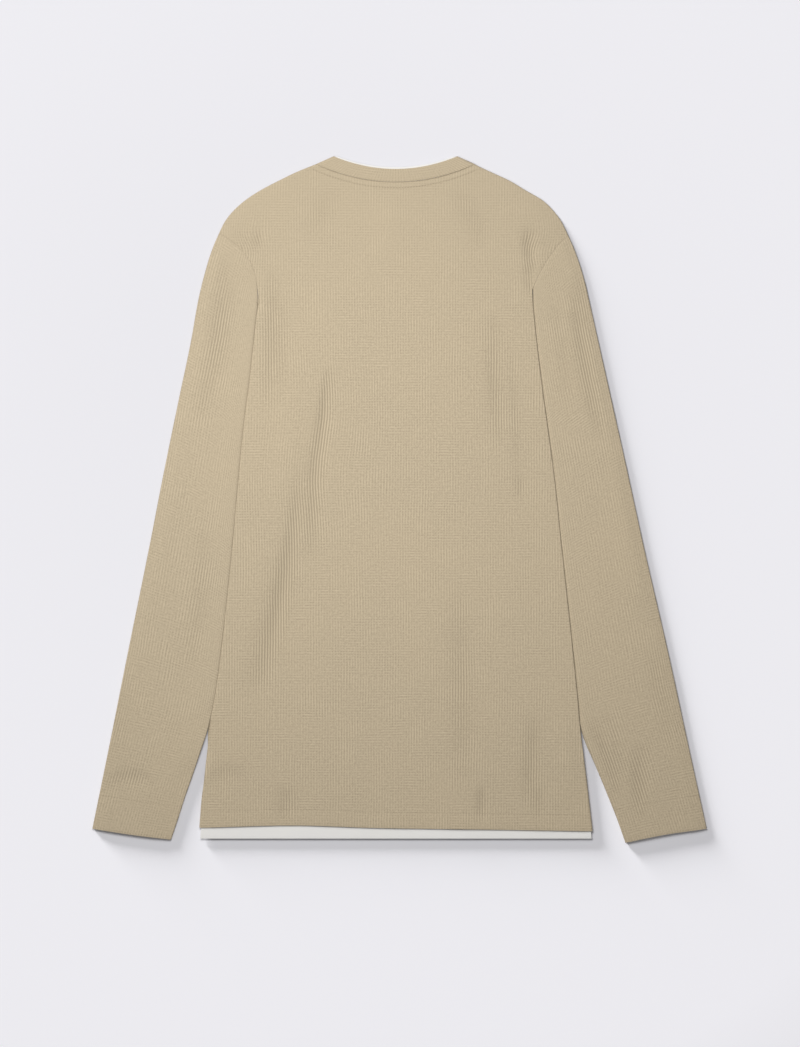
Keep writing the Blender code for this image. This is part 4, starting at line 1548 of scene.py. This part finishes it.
@dataclass
class Panel:
    """The back or the front: from the hem up the sides to the armholes, along the shoulders
    and round the neckline."""

    layer: Layer
    creases: tuple[Crease, ...]
    fans: tuple[Fan, ...]
    seed: int
    cut: Cut
    rows: int = 166
    armhole_rows: int = 22
    shoulder_columns: int = 30
    side_reach: float = 0.36
    hem_ends: tuple[float, float] = (-214.5, 208.0)
    hem_turning: float = 17.0
    topstitch: float = 6.3
    neck_groove: tuple[float, float] = (0.35, 2.4)
    fan_draw_and_shade: float = 0.5
    tip_steps: tuple[float, ...] = (4.6, 3.2, 2.1, 1.2, 0.55, 0.15)

    @property
    def piece_name(self) -> str:
        """The finished piece's name."""
        return f"{self.layer.value}_panel"

    def side(self, side: Side) -> Array:
        """The panel's side from the hem up to the armhole's tip.

        Args:
            side: The side of the garment.

        Returns:
            The line's points.
        """
        x = side.inner_line("body", np.array([UNDER_LAYER_Y]))
        start = float(np.interp(x, *np.array(HEM, float).T)[0])
        rows = np.linspace(start + 0.75, side.armhole[-1, 1], self.rows)
        low, _ = side.body_side(np.concatenate([[start, start + 0.2], rows]))
        seam = side.moved_in(side.armhole, FIT.joint / 2, -side.sign)
        tip = side.shoulder(FIT.cloth / 2)[-1] - [side.sign * FIT.joint / 2, 0.0]
        shares = np.linspace(0, 1 - (self.tip_steps[0] + 1.5) / lengths_along(seam)[-1], self.armhole_rows)
        kept = along(seam[::-1], shares)
        way = unit(kept[-1] - tip)
        rolled = [tip + way * step for step in self.tip_steps]
        return np.concatenate([low[:-1], kept, rolled, [tip]])

    def top(self, left: Array, right: Array) -> tuple[Array, Array, Array]:
        """The upper line from tip to tip, its shares of the way across, and those of the neck.

        Args:
            left: The left side's points.
            right: The right side's points.

        Returns:
            The line's points, a share for each, and the shares of the neckline's points.
        """
        shares = NECK.shares()
        neckline = NECK.across(self.layer, FIT.cloth / 2, shares, -NECK.gap(shares))
        before = LEFT.shoulder(FIT.cloth / 2)[::-1]
        after = RIGHT.shoulder(FIT.cloth / 2)
        before = before[before[:, 0] < neckline[0, 0] - 1.0]
        after = after[after[:, 0] > neckline[-1, 0] + 1.0]
        path = np.concatenate([left[-1:], before[1:], neckline, after[:-1], right[-1:]])
        share = (path[:, 0] - path[0, 0]) / (path[-1, 0] - path[0, 0])
        return path, share, np.interp(neckline[:, 0], path[:, 0], share)

    def columns(self, ends: tuple[Array, Array], neck_u: Array) -> Array:
        """Shares across one row: close together at both edges and round the neck's corners.

        Args:
            ends: The row's left and right end.
            neck_u: The shares of the neckline's points.

        Returns:
            The row's shares.
        """
        steps = []
        for side, point in zip(SIDES, ends):
            values = side.edge_values(point[1:], side.body_on_top)
            ramp = FIT.top_ramp if side.body_on_top else side.low_ramp
            steps.append(edge_steps(values["half"][0], values["flat"][0], ramp))
        width = ends[1][0] - ends[0][0]
        left, right = steps[0] / width, 1 - steps[1][::-1] / width
        first = np.linspace(left[-1], neck_u[0], self.shoulder_columns + 1)[1:-1]
        last = np.linspace(neck_u[-1], right[0], self.shoulder_columns + 1)[1:-1]
        return np.concatenate([left, first, neck_u, last, right])

    def grid(self) -> Array:
        """The panel's points in X and Y.

        Returns:
            A grid of points, from the hem up and from left to right.
        """
        left, right = (self.side(side) for side in SIDES)
        rise = [(path[:, 1] - path[0, 1]) / (path[-1, 1] - path[0, 1]) for path in (left, right)]
        top_path, top_share, neck_u = self.top(left, right)
        u = np.array([self.columns(ends, neck_u) for ends in zip(left, right)])
        v = np.repeat(np.mean(rise, axis=0)[:, None], u.shape[1], axis=1)
        top = np.stack([np.interp(u, top_share, top_path[:, axis]) for axis in (0, 1)], axis=-1)
        x = mix(left[0, 0], right[0, 0], u)
        ends = hem_at(np.array([left[0, 0], right[0, 0]]))
        step = mix(left[0, 1] - ends[0], right[0, 1] - ends[1], u)
        bottom = np.stack([x, hem_at(x) + step], axis=-1)
        return patch(bottom, top, left, right, u, v, self.side_reach)

    def fanned(self, points: Array) -> tuple[Array, Array]:
        """How far the fans shift the grain across at each point, and how strongly they are felt.

        Args:
            points: Points in X and Y.

        Returns:
            A shift and a share for each point.
        """
        shift, felt = np.zeros(len(points)), np.zeros(len(points))
        for fan in self.fans:
            away = points - [fan.x, fan.y]
            share = np.exp(-(away**2).sum(axis=1) / fan.reach**2)
            shift -= fan.slant * away[:, 1] * share
            felt = np.maximum(felt, share * min(1.0, abs(fan.slant)))
        return shift, felt

    def hem_fold(self) -> Array:
        """The lowest line of the panel."""
        x = np.linspace(*self.hem_ends, 60)
        return np.column_stack([x, hem_at(x)])

    def hem_stitches(self) -> Array:
        """The line of the hem's stitches."""
        fold = self.hem_fold()[2:-2]
        return fold + [0.0, self.hem_turning]

    def neck_seam(self) -> Array:
        """The seam with the neckband."""
        return NECK.below_seam(self.layer, FIT.joint / 2, 1.0)

    def drawn_and_shade(self, points: Array) -> Array:
        """How far creases and fans draw the ribs together, which also sets the knit's painted shade."""
        return np.maximum(Creases(self.creases).drawn_and_shade(points), self.fan_draw_and_shade * self.fanned(points)[1])

    def sewn(self, points: Array) -> Array:
        """The signed distance from the rows of stitches, positive between them."""
        neck = below(NECK.below_seam(self.layer, self.topstitch), points)
        return np.minimum(neck, -below(self.hem_stitches(), points) * FIT.fine)

    def reliefs(self) -> Relief:
        """Everything that shapes the panel's outer face.

        Returns:
            The relief.
        """
        parts: list[Relief] = [
            Creases(self.creases),
            Ripple(self.seed),
            Groove(self.neck_seam(), *self.neck_groove),
            TurnedUp(self.hem_fold(), self.hem_turning),
        ]
        parts += [Groove(side.armhole, *ARMHOLE_GROOVE) for side in SIDES]
        return total_relief(parts)

    def layup(self) -> Layup:
        """How the panel's cloth lies."""
        relief = self.reliefs()
        if self.layer.upper:
            return Layup(body_edges(), over=relief)
        return Layup(body_edges(), under=relief)

    def build(self) -> bpy.types.Object:
        """The panel's mesh.

        Returns:
            The new piece.
        """
        grid = self.grid()
        layup = self.layup()
        points = grid.reshape(-1, 2)
        grain = points + np.stack([self.fanned(points)[0], np.zeros(len(points))], axis=-1)
        laid = layup.lay(grid, self.layer.upper, grain.reshape(grid.shape))
        # where its edges close, the panel is half a seam away from the other one
        off = np.zeros(len(points))
        for edge in layup.edges:
            gap, _, closed, *_ = edge.near(points)
            off = np.maximum(off, closed * smooth(1 - gap / (2 * FIT.seam)))
        laid.places[..., 2] += FIT.seam / 2 * off.reshape(grid.shape[:2]) * (1 if self.layer.upper else -1)
        rims = [self.hem_fold(), self.neck_seam(), LEFT.armhole, RIGHT.armhole]
        return cloth_mesh(
            self.piece_name, laid, FIT.cloth, rims, ring=False, sewn=self.sewn, drawn_and_shade=self.drawn_and_shade
        )

    def dress(self, piece: bpy.types.Object, material: bpy.types.Material, finish: WaffleKnit) -> None:
        """Gives the panel its finish and hands it over.

        Args:
            piece: The panel's mesh.
            material: The knit's material.
            finish: The knit; not used.
        """
        piece.data.materials.append(material)
        hand_over(piece, self.layer.value)

    def on_surface(self, line: Array) -> Array:
        """A line's points on the panel's outer face."""
        laid = self.layup().lay(line[None], self.layer.upper, line[None])
        return laid.outer(FIT.cloth)[0]


@dataclass
class Sleeve:
    """A sleeve: one ring of cloth at each step from the cuff to the armhole."""

    side: Side
    seed: int
    cut: Cut
    spacing: float = 3.6
    columns: int = 30
    below_seam: float = 0.5
    length: float = 560.0
    turning: float = 37.0
    turned_height: float = 0.22

    @property
    def piece_name(self) -> str:
        """The finished piece's name."""
        return f"{self.side.name}_sleeve"

    @property
    def ramp(self) -> float:
        """How far in from the sleeve's inner edge the lap is felt."""
        return self.side.low_ramp if self.side.body_on_top else FIT.top_ramp

    def lines(self) -> tuple[Array, Array, Array, Array]:
        """The outer edge, the inner edge, the head at the armhole and the cuff.

        Returns:
            The four lines' points.
        """
        side = self.side
        seam = side.moved_in(side.armhole, FIT.joint / 2, side.sign)
        outer = side.sleeve_outer(FIT.cloth / 2)
        outer[0, 1] -= FIT.joint
        ys = np.linspace(side.armhole[-1, 1] - self.below_seam, side.cuff[-1, 1], 70)
        inner = side.sleeve_inner(ys)
        head = np.concatenate([outer[:1], seam[1:-1], inner[:1]])
        cuff = np.concatenate([outer[-1:], side.cuff[1:-1], inner[-1:]])
        return outer, inner, head, cuff

    def rows(self, length: float) -> Array:
        """Shares of the way up from the cuff, close together at both ends.

        Args:
            length: The sleeve's length.

        Returns:
            The shares, rising.
        """
        ends = np.array([0.0, 0.2, 0.75]) / length
        middle = ease_steps(ends[-1], 1 - ends[-1], self.spacing / length)
        return np.concatenate([ends, middle, 1 - ends[1::-1]])

    def grid(self) -> tuple[Array, Array]:
        """The sleeve's points in X and Y, and its grain.

        Returns:
            Two grids of points, from the cuff up and from the outer edge in.
        """
        outer, inner, head, cuff = self.lines()
        v = self.rows(lengths_along(outer)[-1])
        outer_rows, inner_rows = along(outer, 1 - v), along(inner, 1 - v)
        head_at = lengths_along(head) / lengths_along(head)[-1]
        even_u = np.linspace(0, 1, self.columns + 2)[1:-1]
        head_u = np.interp(even_u, np.linspace(0, 1, len(head_at)), head_at)
        rows = []
        for outer_point, inner_point, share in zip(outer_rows, inner_rows, v):
            width = np.linalg.norm(outer_point - inner_point)
            at_edge = self.side.edge_values(inner_point[1:], not self.side.body_on_top, FIT.fold_half)
            fold = self.side.fold_half(outer_point[None])[0]
            start = edge_steps(fold, 0.0, 0.0)[: len(ROLL_ANGLES)] / width
            end = 1 - edge_steps(at_edge["half"][0], at_edge["flat"][0], self.ramp)[::-1] / width
            even = mix(start[-1], end[0], even_u)
            kept = mix(start[-1], end[0], head_u)
            rows.append(np.concatenate([start, mix(even, kept, smooth(share * 4 - 3)), end]))
        u = np.array(rows)
        v_grid = np.repeat(v[:, None], u.shape[1], axis=1)
        grid = patch(along(cuff, u), along(head, u), outer_rows, inner_rows, u, v_grid)
        axis = (outer_rows + inner_rows) / 2
        widths = np.linalg.norm(outer_rows - inner_rows, axis=1)[:, None]
        heights = np.repeat(lengths_along(axis)[:, None], u.shape[1], axis=1)
        grain = np.stack([(u - 0.5) * widths, heights], axis=-1)
        return grid, grain

    def cuff_stitches(self) -> Array:
        """The line of the cuff's stitches.

        Returns:
            The line's points.
        """
        outer, inner, _, cuff = self.lines()
        start = outer[-1] + unit(outer[-8] - outer[-1]) * self.turning
        end = inner[-1] + unit(inner[-8] - inner[-1]) * self.turning
        shares = np.linspace(0.03, 0.97, 30)
        straight = mix(start, end, shares[:, None])
        bow = along(cuff, shares) - mix(cuff[0], cuff[-1], shares[:, None])
        return straight + bow

    def layup(self) -> Layup:
        """How the sleeve's two cloths lie.

        Returns:
            The layup of both cloths.
        """
        side = self.side
        outer, inner, _, cuff = self.lines()
        ys = inner[:, 1]
        values = side.edge_values(ys, not side.body_on_top, FIT.fold_half)
        values["closed"] = side.closed(ys, not side.body_on_top)
        values = {key: side.order(row[::-1]) for key, row in values.items()}
        inner_edge = Edge(side.order(inner[::-1]), ramp=self.ramp, **values)
        fold = side.order(np.concatenate([side.shoulder(FIT.cloth / 2), outer[1:]]))
        outer_edge = Edge(fold, half=side.fold_half(fold))

        def half(points: Array) -> Array:
            """The half height, which falls towards the cuff."""
            down = smooth((side.armhole[-1, 1] - points[:, 1]) / self.length)
            return mix(FIT.open_half, FIT.cuff_half, down)

        turned = TurnedUp(cuff, self.turning, self.turned_height)
        over = [Creases(side.creases), Ripple(self.seed), Groove(side.armhole, *ARMHOLE_GROOVE), turned]
        under = [Creases(UNDER_SLEEVE_CREASES), Ripple(self.seed + 1), Groove(side.armhole, *ARMHOLE_GROOVE)]
        return Layup([outer_edge, inner_edge], half, over=total_relief(over), under=total_relief(under))

    def build(self) -> bpy.types.Object:
        """The sleeve's mesh.

        Returns:
            The new piece.
        """
        grid, grain = self.grid()
        laid = self.layup().tube(grid, grain)
        stitches = self.cuff_stitches()
        rims = [self.side.armhole, self.side.cuff]
        drawn_and_shade = Creases(self.side.creases).drawn_and_shade
        return cloth_mesh(
            self.piece_name,
            laid,
            FIT.cloth,
            rims,
            ring=True,
            sewn=lambda points: -below(stitches, points) * FIT.fine,
            drawn_and_shade=drawn_and_shade,
        )

    def dress(self, piece: bpy.types.Object, material: bpy.types.Material, finish: WaffleKnit) -> None:
        """Gives the sleeve its finish and hands it over.

        Args:
            piece: The sleeve's mesh.
            material: The knit's material.
            finish: The knit; not used.
        """
        piece.data.materials.append(material)
        hand_over(piece, f"sleeve_{self.side.name}")

    def on_surface(self, line: Array, upper: bool) -> Array:
        """A line's points on the sleeve's outer face."""
        laid = self.layup().lay(line[None], upper, line[None])
        return laid.outer(FIT.cloth)[0]


@dataclass
class NeckRing:
    """A band round the neck: over the back's neckline, then back under the front's."""

    piece_name: str
    node: str
    thickness: float
    distance: float
    half: float
    cut: Cut
    rows: int
    starts_at_seam: bool
    shows: float = 2.1
    depth: float = 9.0
    crown: float = 0.0
    crown_reach: float = 7.5

    def reaches(self, layer: Layer, shares: Array) -> list[Array]:
        """The distances from the seam of each row of the band.

        Args:
            layer: The cloth that the band is sewn to.
            shares: Stations along the neckline.

        Returns:
            A list of distances for each row.
        """
        width = NECK.width(layer, self.distance, shares)
        steps = np.linspace(0, 1, self.rows)
        edge = np.array([0.0, 0.25 / width.mean(), 0.9 / width.mean()])
        steps = np.concatenate([edge, steps[1:-1], 1 - edge[::-1]])
        if self.starts_at_seam:
            return [mix(NECK.gap(shares), width, share) for share in steps]
        return [width + self.shows - self.depth * (1 - share) for share in steps]

    def crowned(self, points: Array) -> Array:
        """The height that a doubled band has along its middle.

        Args:
            points: Points in X and Y.

        Returns:
            A height for each point.
        """
        gap = np.full(len(points), np.inf)
        shares = np.linspace(-1, 1, 90)
        for layer in Layer:
            edge, seam = (NECK.curve(line, 0.0, shares) for line in NECK.lines(layer))
            gap = np.minimum(gap, Edge((seam + edge) / 2).gap(points))
        return self.crown * np.clip(1 - (gap / self.crown_reach) ** 2, -1.0, 1)

    def build(self) -> bpy.types.Object:
        """The band's mesh.

        Returns:
            The new piece.
        """
        shares = NECK.shares()
        edges = shoulder_edges(self.distance, self.half)
        floor = FIT.band_cloth / 2 + FIT.band_half - self.half
        relief = self.crowned if self.crown else None
        layup = Layup(edges, self.half, floor, over=relief)
        skins = []
        start = 0.0
        for layer, stations in ((Layer.BACK, shares), (Layer.FRONT, shares[-2:0:-1])):
            reaches = self.reaches(layer, stations)
            grid = np.stack([NECK.across(layer, self.distance, stations, reach) for reach in reaches])
            if layer.upper:
                for edge, end in zip(edges, (0, -1)):
                    grid[:, end] = edge.onto(grid[:, end])
            lengths = start + lengths_along(grid[len(grid) // 2])
            start = lengths[-1]
            depth = np.broadcast_to(np.stack(reaches), grid.shape[:2])
            grain = np.stack([np.broadcast_to(lengths, grid.shape[:2]), depth], axis=-1)
            skins.append(layup.lay(grid, layer.upper, grain))
        laid = Laid.joined(skins)
        rims = [laid.places[row][:, :2] for row in (0, -1)]
        return cloth_mesh(self.piece_name, laid, self.thickness, rims, ring=True)

    def dress(
        self, piece: bpy.types.Object, material: bpy.types.Material, finish: WaffleKnit | Jersey
    ) -> None:
        """Gives the band its finish and hands it over."""
        piece.data.materials.append(material)
        hand_over(piece, self.node)


@dataclass
class HemStrip:
    """The under-layer's strip between the panels at the hem, a flat tube."""

    cut: Cut
    piece_name: str = "under_hem"
    shows_to_y: float = UNDER_LAYER_Y
    top_y: float = -322.0
    inset: float = FIT.cloth + 0.7 + FIT.under_cloth / 2
    columns: int = 120
    spacing: float = 2.6

    def build(self) -> bpy.types.Object:
        """The strip's mesh.

        Returns:
            The new piece.
        """
        rows = [self.shows_to_y, self.shows_to_y + 0.15, self.shows_to_y + 0.5]
        ys = np.concatenate([rows, ease_steps(rows[-1], self.top_y, self.spacing)])[::-1]
        paths = []
        for side in SIDES:
            x = side.inner_line("body", ys) - side.sign * self.inset
            paths.append(np.column_stack([x, ys]))
        edges = [Edge(side.order(path), half=FIT.under_half) for side, path in zip(SIDES, paths)]
        roll = FIT.under_half * (1 - np.cos(ROLL_ANGLES))
        even = np.linspace(0, 1, self.columns)[1:-1]
        rows = []
        for left, right in zip(*paths):
            width = right[0] - left[0]
            shares = np.concatenate([roll / width, even, 1 - roll[::-1] / width])
            rows.append(mix(left, right, shares[:, None]))
        grid = np.array(rows)
        floor = FIT.cloth + FIT.seam + FIT.under_cloth / 2
        laid = Layup(edges, FIT.under_half, floor).tube(grid, grid)
        rims = [grid[0], grid[-1]]
        return cloth_mesh(self.piece_name, laid, FIT.under_cloth, rims, ring=True)

    def dress(self, piece: bpy.types.Object, material: bpy.types.Material, finish: Jersey) -> None:
        """Gives the strip its finish and hands it over."""
        piece.data.materials.append(material)
        hand_over(piece, "underlayer_hem")


# Stitches


@dataclass
class Stitches:
    """Rows of stitches along lines on the cloth, made by a node tree."""

    piece_name: str
    lines: list[Array]
    pitch: float = 3.0
    length: float = 2.1
    width: float = 0.55
    height: float = 0.34
    least: tuple[float, float, float] = (0.88, 0.9, 0.9)
    most: tuple[float, float, float] = (1.1, 1.1, 1.1)
    seed: int = 7

    def sizes(self) -> dict[str, float]:
        """The tree's named sizes in metres."""
        sizes = {"Pitch": self.pitch, "Length": self.length, "Width": self.width, "Height": self.height}
        return {name: size * METRES for name, size in sizes.items()}

    def tree(self, material: bpy.types.Material) -> bpy.types.GeometryNodeTree:
        """The node tree that sets a stitch at each step along the lines.

        Args:
            material: The thread's material.

        Returns:
            The tree, with named inputs for its sizes and its seed.
        """
        tree = bpy.data.node_groups.new("stitch_row", "GeometryNodeTree")
        face = tree.interface
        face.new_socket("Geometry", in_out="INPUT", socket_type="NodeSocketGeometry")
        for name, size in self.sizes().items():
            socket = face.new_socket(name, in_out="INPUT", socket_type="NodeSocketFloat")
            socket.default_value = size
        seed = face.new_socket("Seed", in_out="INPUT", socket_type="NodeSocketInt")
        seed.default_value = self.seed
        face.new_socket("Geometry", in_out="OUTPUT", socket_type="NodeSocketGeometry")

        def node(kind: str, values: dict[str | int, object], **settings: object) -> bpy.types.Node:
            """A new node with its sockets set or linked.

            Args:
                kind: The node's type.
                values: Its sockets' values, or the sockets that are linked to them.
                settings: Its own settings.

            Returns:
                The node.
            """
            made = tree.nodes.new(kind)
            for key, value in settings.items():
                setattr(made, key, value)
            for key, value in values.items():
                if isinstance(value, bpy.types.NodeSocket):
                    tree.links.new(value, made.inputs[key])
                else:
                    made.inputs[key].default_value = value
            return made

        given = tree.nodes.new("NodeGroupInput").outputs
        spacing = {"Curve": given["Geometry"], "Length": given["Pitch"]}
        spaced = node("GeometryNodeResampleCurve", spacing, mode="LENGTH")
        bead = node("GeometryNodeMeshUVSphere", {"Segments": 6, "Rings": 5, "Radius": 0.5})
        tangent = node("GeometryNodeInputTangent", {})
        turned = node("FunctionNodeAlignRotationToVector", {"Vector": tangent.outputs[0]}, axis="X")
        size = node("ShaderNodeCombineXYZ", {0: given["Length"], 1: given["Width"], 2: given["Height"]})
        spread = {"Min": self.least, "Max": self.most, "Seed": given["Seed"]}
        chance = node("FunctionNodeRandomValue", spread, data_type="FLOAT_VECTOR")
        scale = node("ShaderNodeVectorMath", {0: size.outputs[0], 1: chance.outputs[0]}, operation="MULTIPLY")
        beads = {
            "Points": spaced.outputs[0],
            "Instance": bead.outputs["Mesh"],
            "Rotation": turned.outputs[0],
            "Scale": scale.outputs[0],
        }
        placed = node("GeometryNodeInstanceOnPoints", beads)
        real = node("GeometryNodeRealizeInstances", {"Geometry": placed.outputs[0]})
        smooth_it = node("GeometryNodeSetShadeSmooth", {"Geometry": real.outputs[0]})
        painted = node("GeometryNodeSetMaterial", {"Geometry": smooth_it.outputs[0], "Material": material})
        node("NodeGroupOutput", {0: painted.outputs[0]})
        return tree

    def build(self, material: bpy.types.Material) -> bpy.types.Object:
        """The stitches as one plain mesh.

        Args:
            material: The thread's material.

        Returns:
            The new piece.
        """
        curve = bpy.data.curves.new(f"{self.piece_name}_lines", "CURVE")
        curve.dimensions = "3D"
        for line in self.lines:
            spline = curve.splines.new("POLY")
            spline.points.add(len(line) - 1)
            spline.points.foreach_set("co", np.column_stack([line * METRES, np.ones(len(line))]).ravel())
        guide = linked(f"{self.piece_name}_guide", curve)
        modifier = guide.modifiers.new("Stitches", "NODES")
        modifier.node_group = self.tree(material)
        inputs = {**self.sizes(), "Seed": self.seed}
        for item in modifier.node_group.interface.items_tree:
            if item.in_out == "INPUT" and item.name in inputs:
                modifier[item.identifier] = inputs[item.name]
        bpy.context.view_layer.update()
        evaluated = guide.evaluated_get(bpy.context.evaluated_depsgraph_get())
        mesh = bpy.data.meshes.new_from_object(evaluated)
        mesh.name = self.piece_name
        made = linked(self.piece_name, mesh)
        bpy.data.objects.remove(guide)
        return made

    def dress(self, piece: bpy.types.Object, finish: Thread) -> None:
        """Hands the stitches over.

        Args:
            piece: The stitches' mesh.
            finish: The thread; not used.
        """
        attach(piece, BODY)
        LOG.info("%s: %d faces", piece.name, len(piece.data.polygons))


# Studio


@dataclass(frozen=True)
class Sun:
    """A sun: the place that it shines from, its strength and its width in degrees."""

    place: tuple[float, float, float]
    energy: float
    degrees: float


@dataclass
class Studio:
    """Floor, lights and camera."""

    scale: float = 1.0714  # millimetres for each pixel of the photograph
    frame: tuple[int, int] = (800, 1047)
    zero: tuple[float, float] = (399.5, 499.5)  # the pixel over the origin
    lens: float = 100.0
    sensor: float = 36.0
    surface: float = 5.5
    floor_size: float = 12.0  # metres
    floor_gap: float = 0.2
    lamp: tuple[float, float, float] = (-0.2, 0.3, 0.9)
    lamp_size: float = 0.5
    lamp_energy: float = 8.35
    high_sun: Sun = Sun((-0.62, 0.74, 0.70), 1.9, 36.0)
    low_sun: Sun = Sun((-0.62, 0.74, 0.118), 9.2, 13.0)
    fill_sun: Sun = Sun((0.8, -0.5, 0.3), 0.6, 60.0)
    sky: float = 0.235

    def camera(self) -> None:
        """A camera straight above, which frames the garment as in the photograph."""
        data = bpy.data.cameras.new("camera")
        data.lens = self.lens
        data.sensor_width = self.sensor
        covered = self.frame[1] * self.scale
        camera = linked("camera", data)
        x = (self.frame[0] / 2 - self.zero[0]) * self.scale
        y = (self.zero[1] - self.frame[1] / 2) * self.scale
        z = covered * self.lens / self.sensor + self.surface
        camera.location = (x * METRES, y * METRES, z * METRES)
        bpy.context.scene.camera = camera

    def floor(self) -> bpy.types.Object:
        """A large sheet of pale paper.

        Returns:
            The floor.
        """
        half = self.floor_size / 2
        mesh = bpy.data.meshes.new("floor")
        corners = [(-half, -half, 0), (half, -half, 0), (half, half, 0), (-half, half, 0)]
        mesh.from_pydata(corners, [], [(0, 1, 2, 3)])
        mesh.materials.append(StudioFloor().make(self.lamp))
        floor = linked("floor", mesh)
        floor.location.z = -self.floor_gap * METRES
        return floor

    def light(self, kind: str, place: tuple[float, float, float], **settings: float) -> bpy.types.Object:
        """A light that faces the origin.

        Args:
            kind: The kind of light.
            place: Where it stands.
            settings: Its own settings.

        Returns:
            The light.
        """
        data = bpy.data.lights.new(kind.lower(), kind)
        for name, value in settings.items():
            setattr(data, name, value)
        light = linked(kind.lower(), data)
        light.visible_camera = False
        light.location = place
        light.rotation_mode = "QUATERNION"
        light.rotation_quaternion = (-Vector(place)).to_track_quat("-Z", "Y")
        return light

    def lights(self, floor: bpy.types.Object, pieces: Sequence[bpy.types.Object]) -> None:
        """A lamp at the upper left, three suns and an even sky.

        A high sun there and a weak one opposite light the cloth alone. A low one lights the floor
        alone, and the long soft shadow is its own.

        Args:
            floor: The floor.
            pieces: The garment's pieces.
        """
        self.light("AREA", self.lamp, size=self.lamp_size, energy=self.lamp_energy)
        high, low, fill = (
            self.light("SUN", sun.place, energy=sun.energy, angle=math.radians(sun.degrees))
            for sun in (self.high_sun, self.low_sun, self.fill_sun)
        )
        paper, cloth = bpy.data.collections.new("paper"), bpy.data.collections.new("cloth")
        paper.objects.link(floor)
        for piece in pieces:
            cloth.objects.link(piece)
        low.light_linking.receiver_collection = paper
        high.light_linking.receiver_collection = cloth
        fill.light_linking.receiver_collection = cloth
        world = bpy.data.worlds.new("studio")
        world.use_nodes = True
        sky = world.node_tree.nodes["Background"].inputs
        sky["Color"].default_value = (1.0, 1.0, 1.0, 1.0)
        sky["Strength"].default_value = self.sky
        bpy.context.scene.world = world

    def build(self, pieces: Sequence[bpy.types.Object]) -> None:
        """Everything in the studio, round the garment's pieces.

        Args:
            pieces: The garment's pieces.
        """
        self.lights(self.floor(), pieces)
        self.camera()
        bpy.context.scene.view_settings.view_transform = "Standard"
        LOG.info("studio ready")


def main() -> None:
    """Builds the studio and every piece of the garment, in order."""
    logging.basicConfig(level=logging.INFO, format="%(name)s: %(message)s")
    knit, jersey, thread = WaffleKnit(), Jersey(), Thread()
    knit_material, jersey_material, thread_material = knit.make(), jersey.make(), thread.make()

    back = Panel(Layer.BACK, BACK_CREASES, BACK_FANS, 3, Cut(0.425, 0.715, 0.248))
    front = Panel(Layer.FRONT, FRONT_CREASES, FRONT_FANS, 5, Cut(0.425, 0.715, 0.24))
    pieces = []
    for panel in (front, back):
        pieces.append(panel.build())
        panel.dress(pieces[-1], knit_material, knit)
    sleeves = [Sleeve(LEFT, 11, Cut(0.34, 0.66, 0.107)), Sleeve(RIGHT, 17, Cut(0.34, 0.66, 0.11))]
    for sleeve in sleeves:
        pieces.append(sleeve.build())
        sleeve.dress(pieces[-1], knit_material, knit)

    band = NeckRing(
        "neck_band", "neckband", FIT.band_cloth, FIT.band_cloth / 2, FIT.band_half, Cut(0.0145, 0.44, 0.0062),
        rows=9, starts_at_seam=True, crown=0.22,
    )
    pieces.append(band.build())
    band.dress(pieces[-1], knit_material, knit)
    distance = FIT.band_cloth + FIT.seam + FIT.under_cloth / 2
    edging = NeckRing(
        "under_neck", "underlayer_neck", FIT.under_cloth, distance, FIT.under_half, Cut(0.01, 0.38, 0.0032),
        rows=7, starts_at_seam=False,
    )
    pieces.append(edging.build())
    edging.dress(pieces[-1], jersey_material, jersey)
    strip = HemStrip(Cut(0.042, 0.85, 0.035))
    pieces.append(strip.build())
    strip.dress(pieces[-1], jersey_material, jersey)

    panels = (back, front)
    neck_rows = [panel.on_surface(NECK.below_seam(panel.layer, panel.topstitch, 0.97)) for panel in panels]
    hem_rows = [panel.on_surface(panel.hem_stitches()) for panel in panels]
    rows = [Stitches("neck_stitches", neck_rows), Stitches("hem_stitches", hem_rows, seed=8)]
    for sleeve in sleeves:
        line = sleeve.cuff_stitches()
        lines = [sleeve.on_surface(line, upper) for upper in (True, False)]
        rows.append(Stitches(f"{sleeve.side.name}_cuff_stitches", lines, seed=9))
    for row in rows:
        pieces.append(row.build(thread_material))
        row.dress(pieces[-1], thread)
    Studio().build(pieces)


if __name__ == "__main__":
    main()
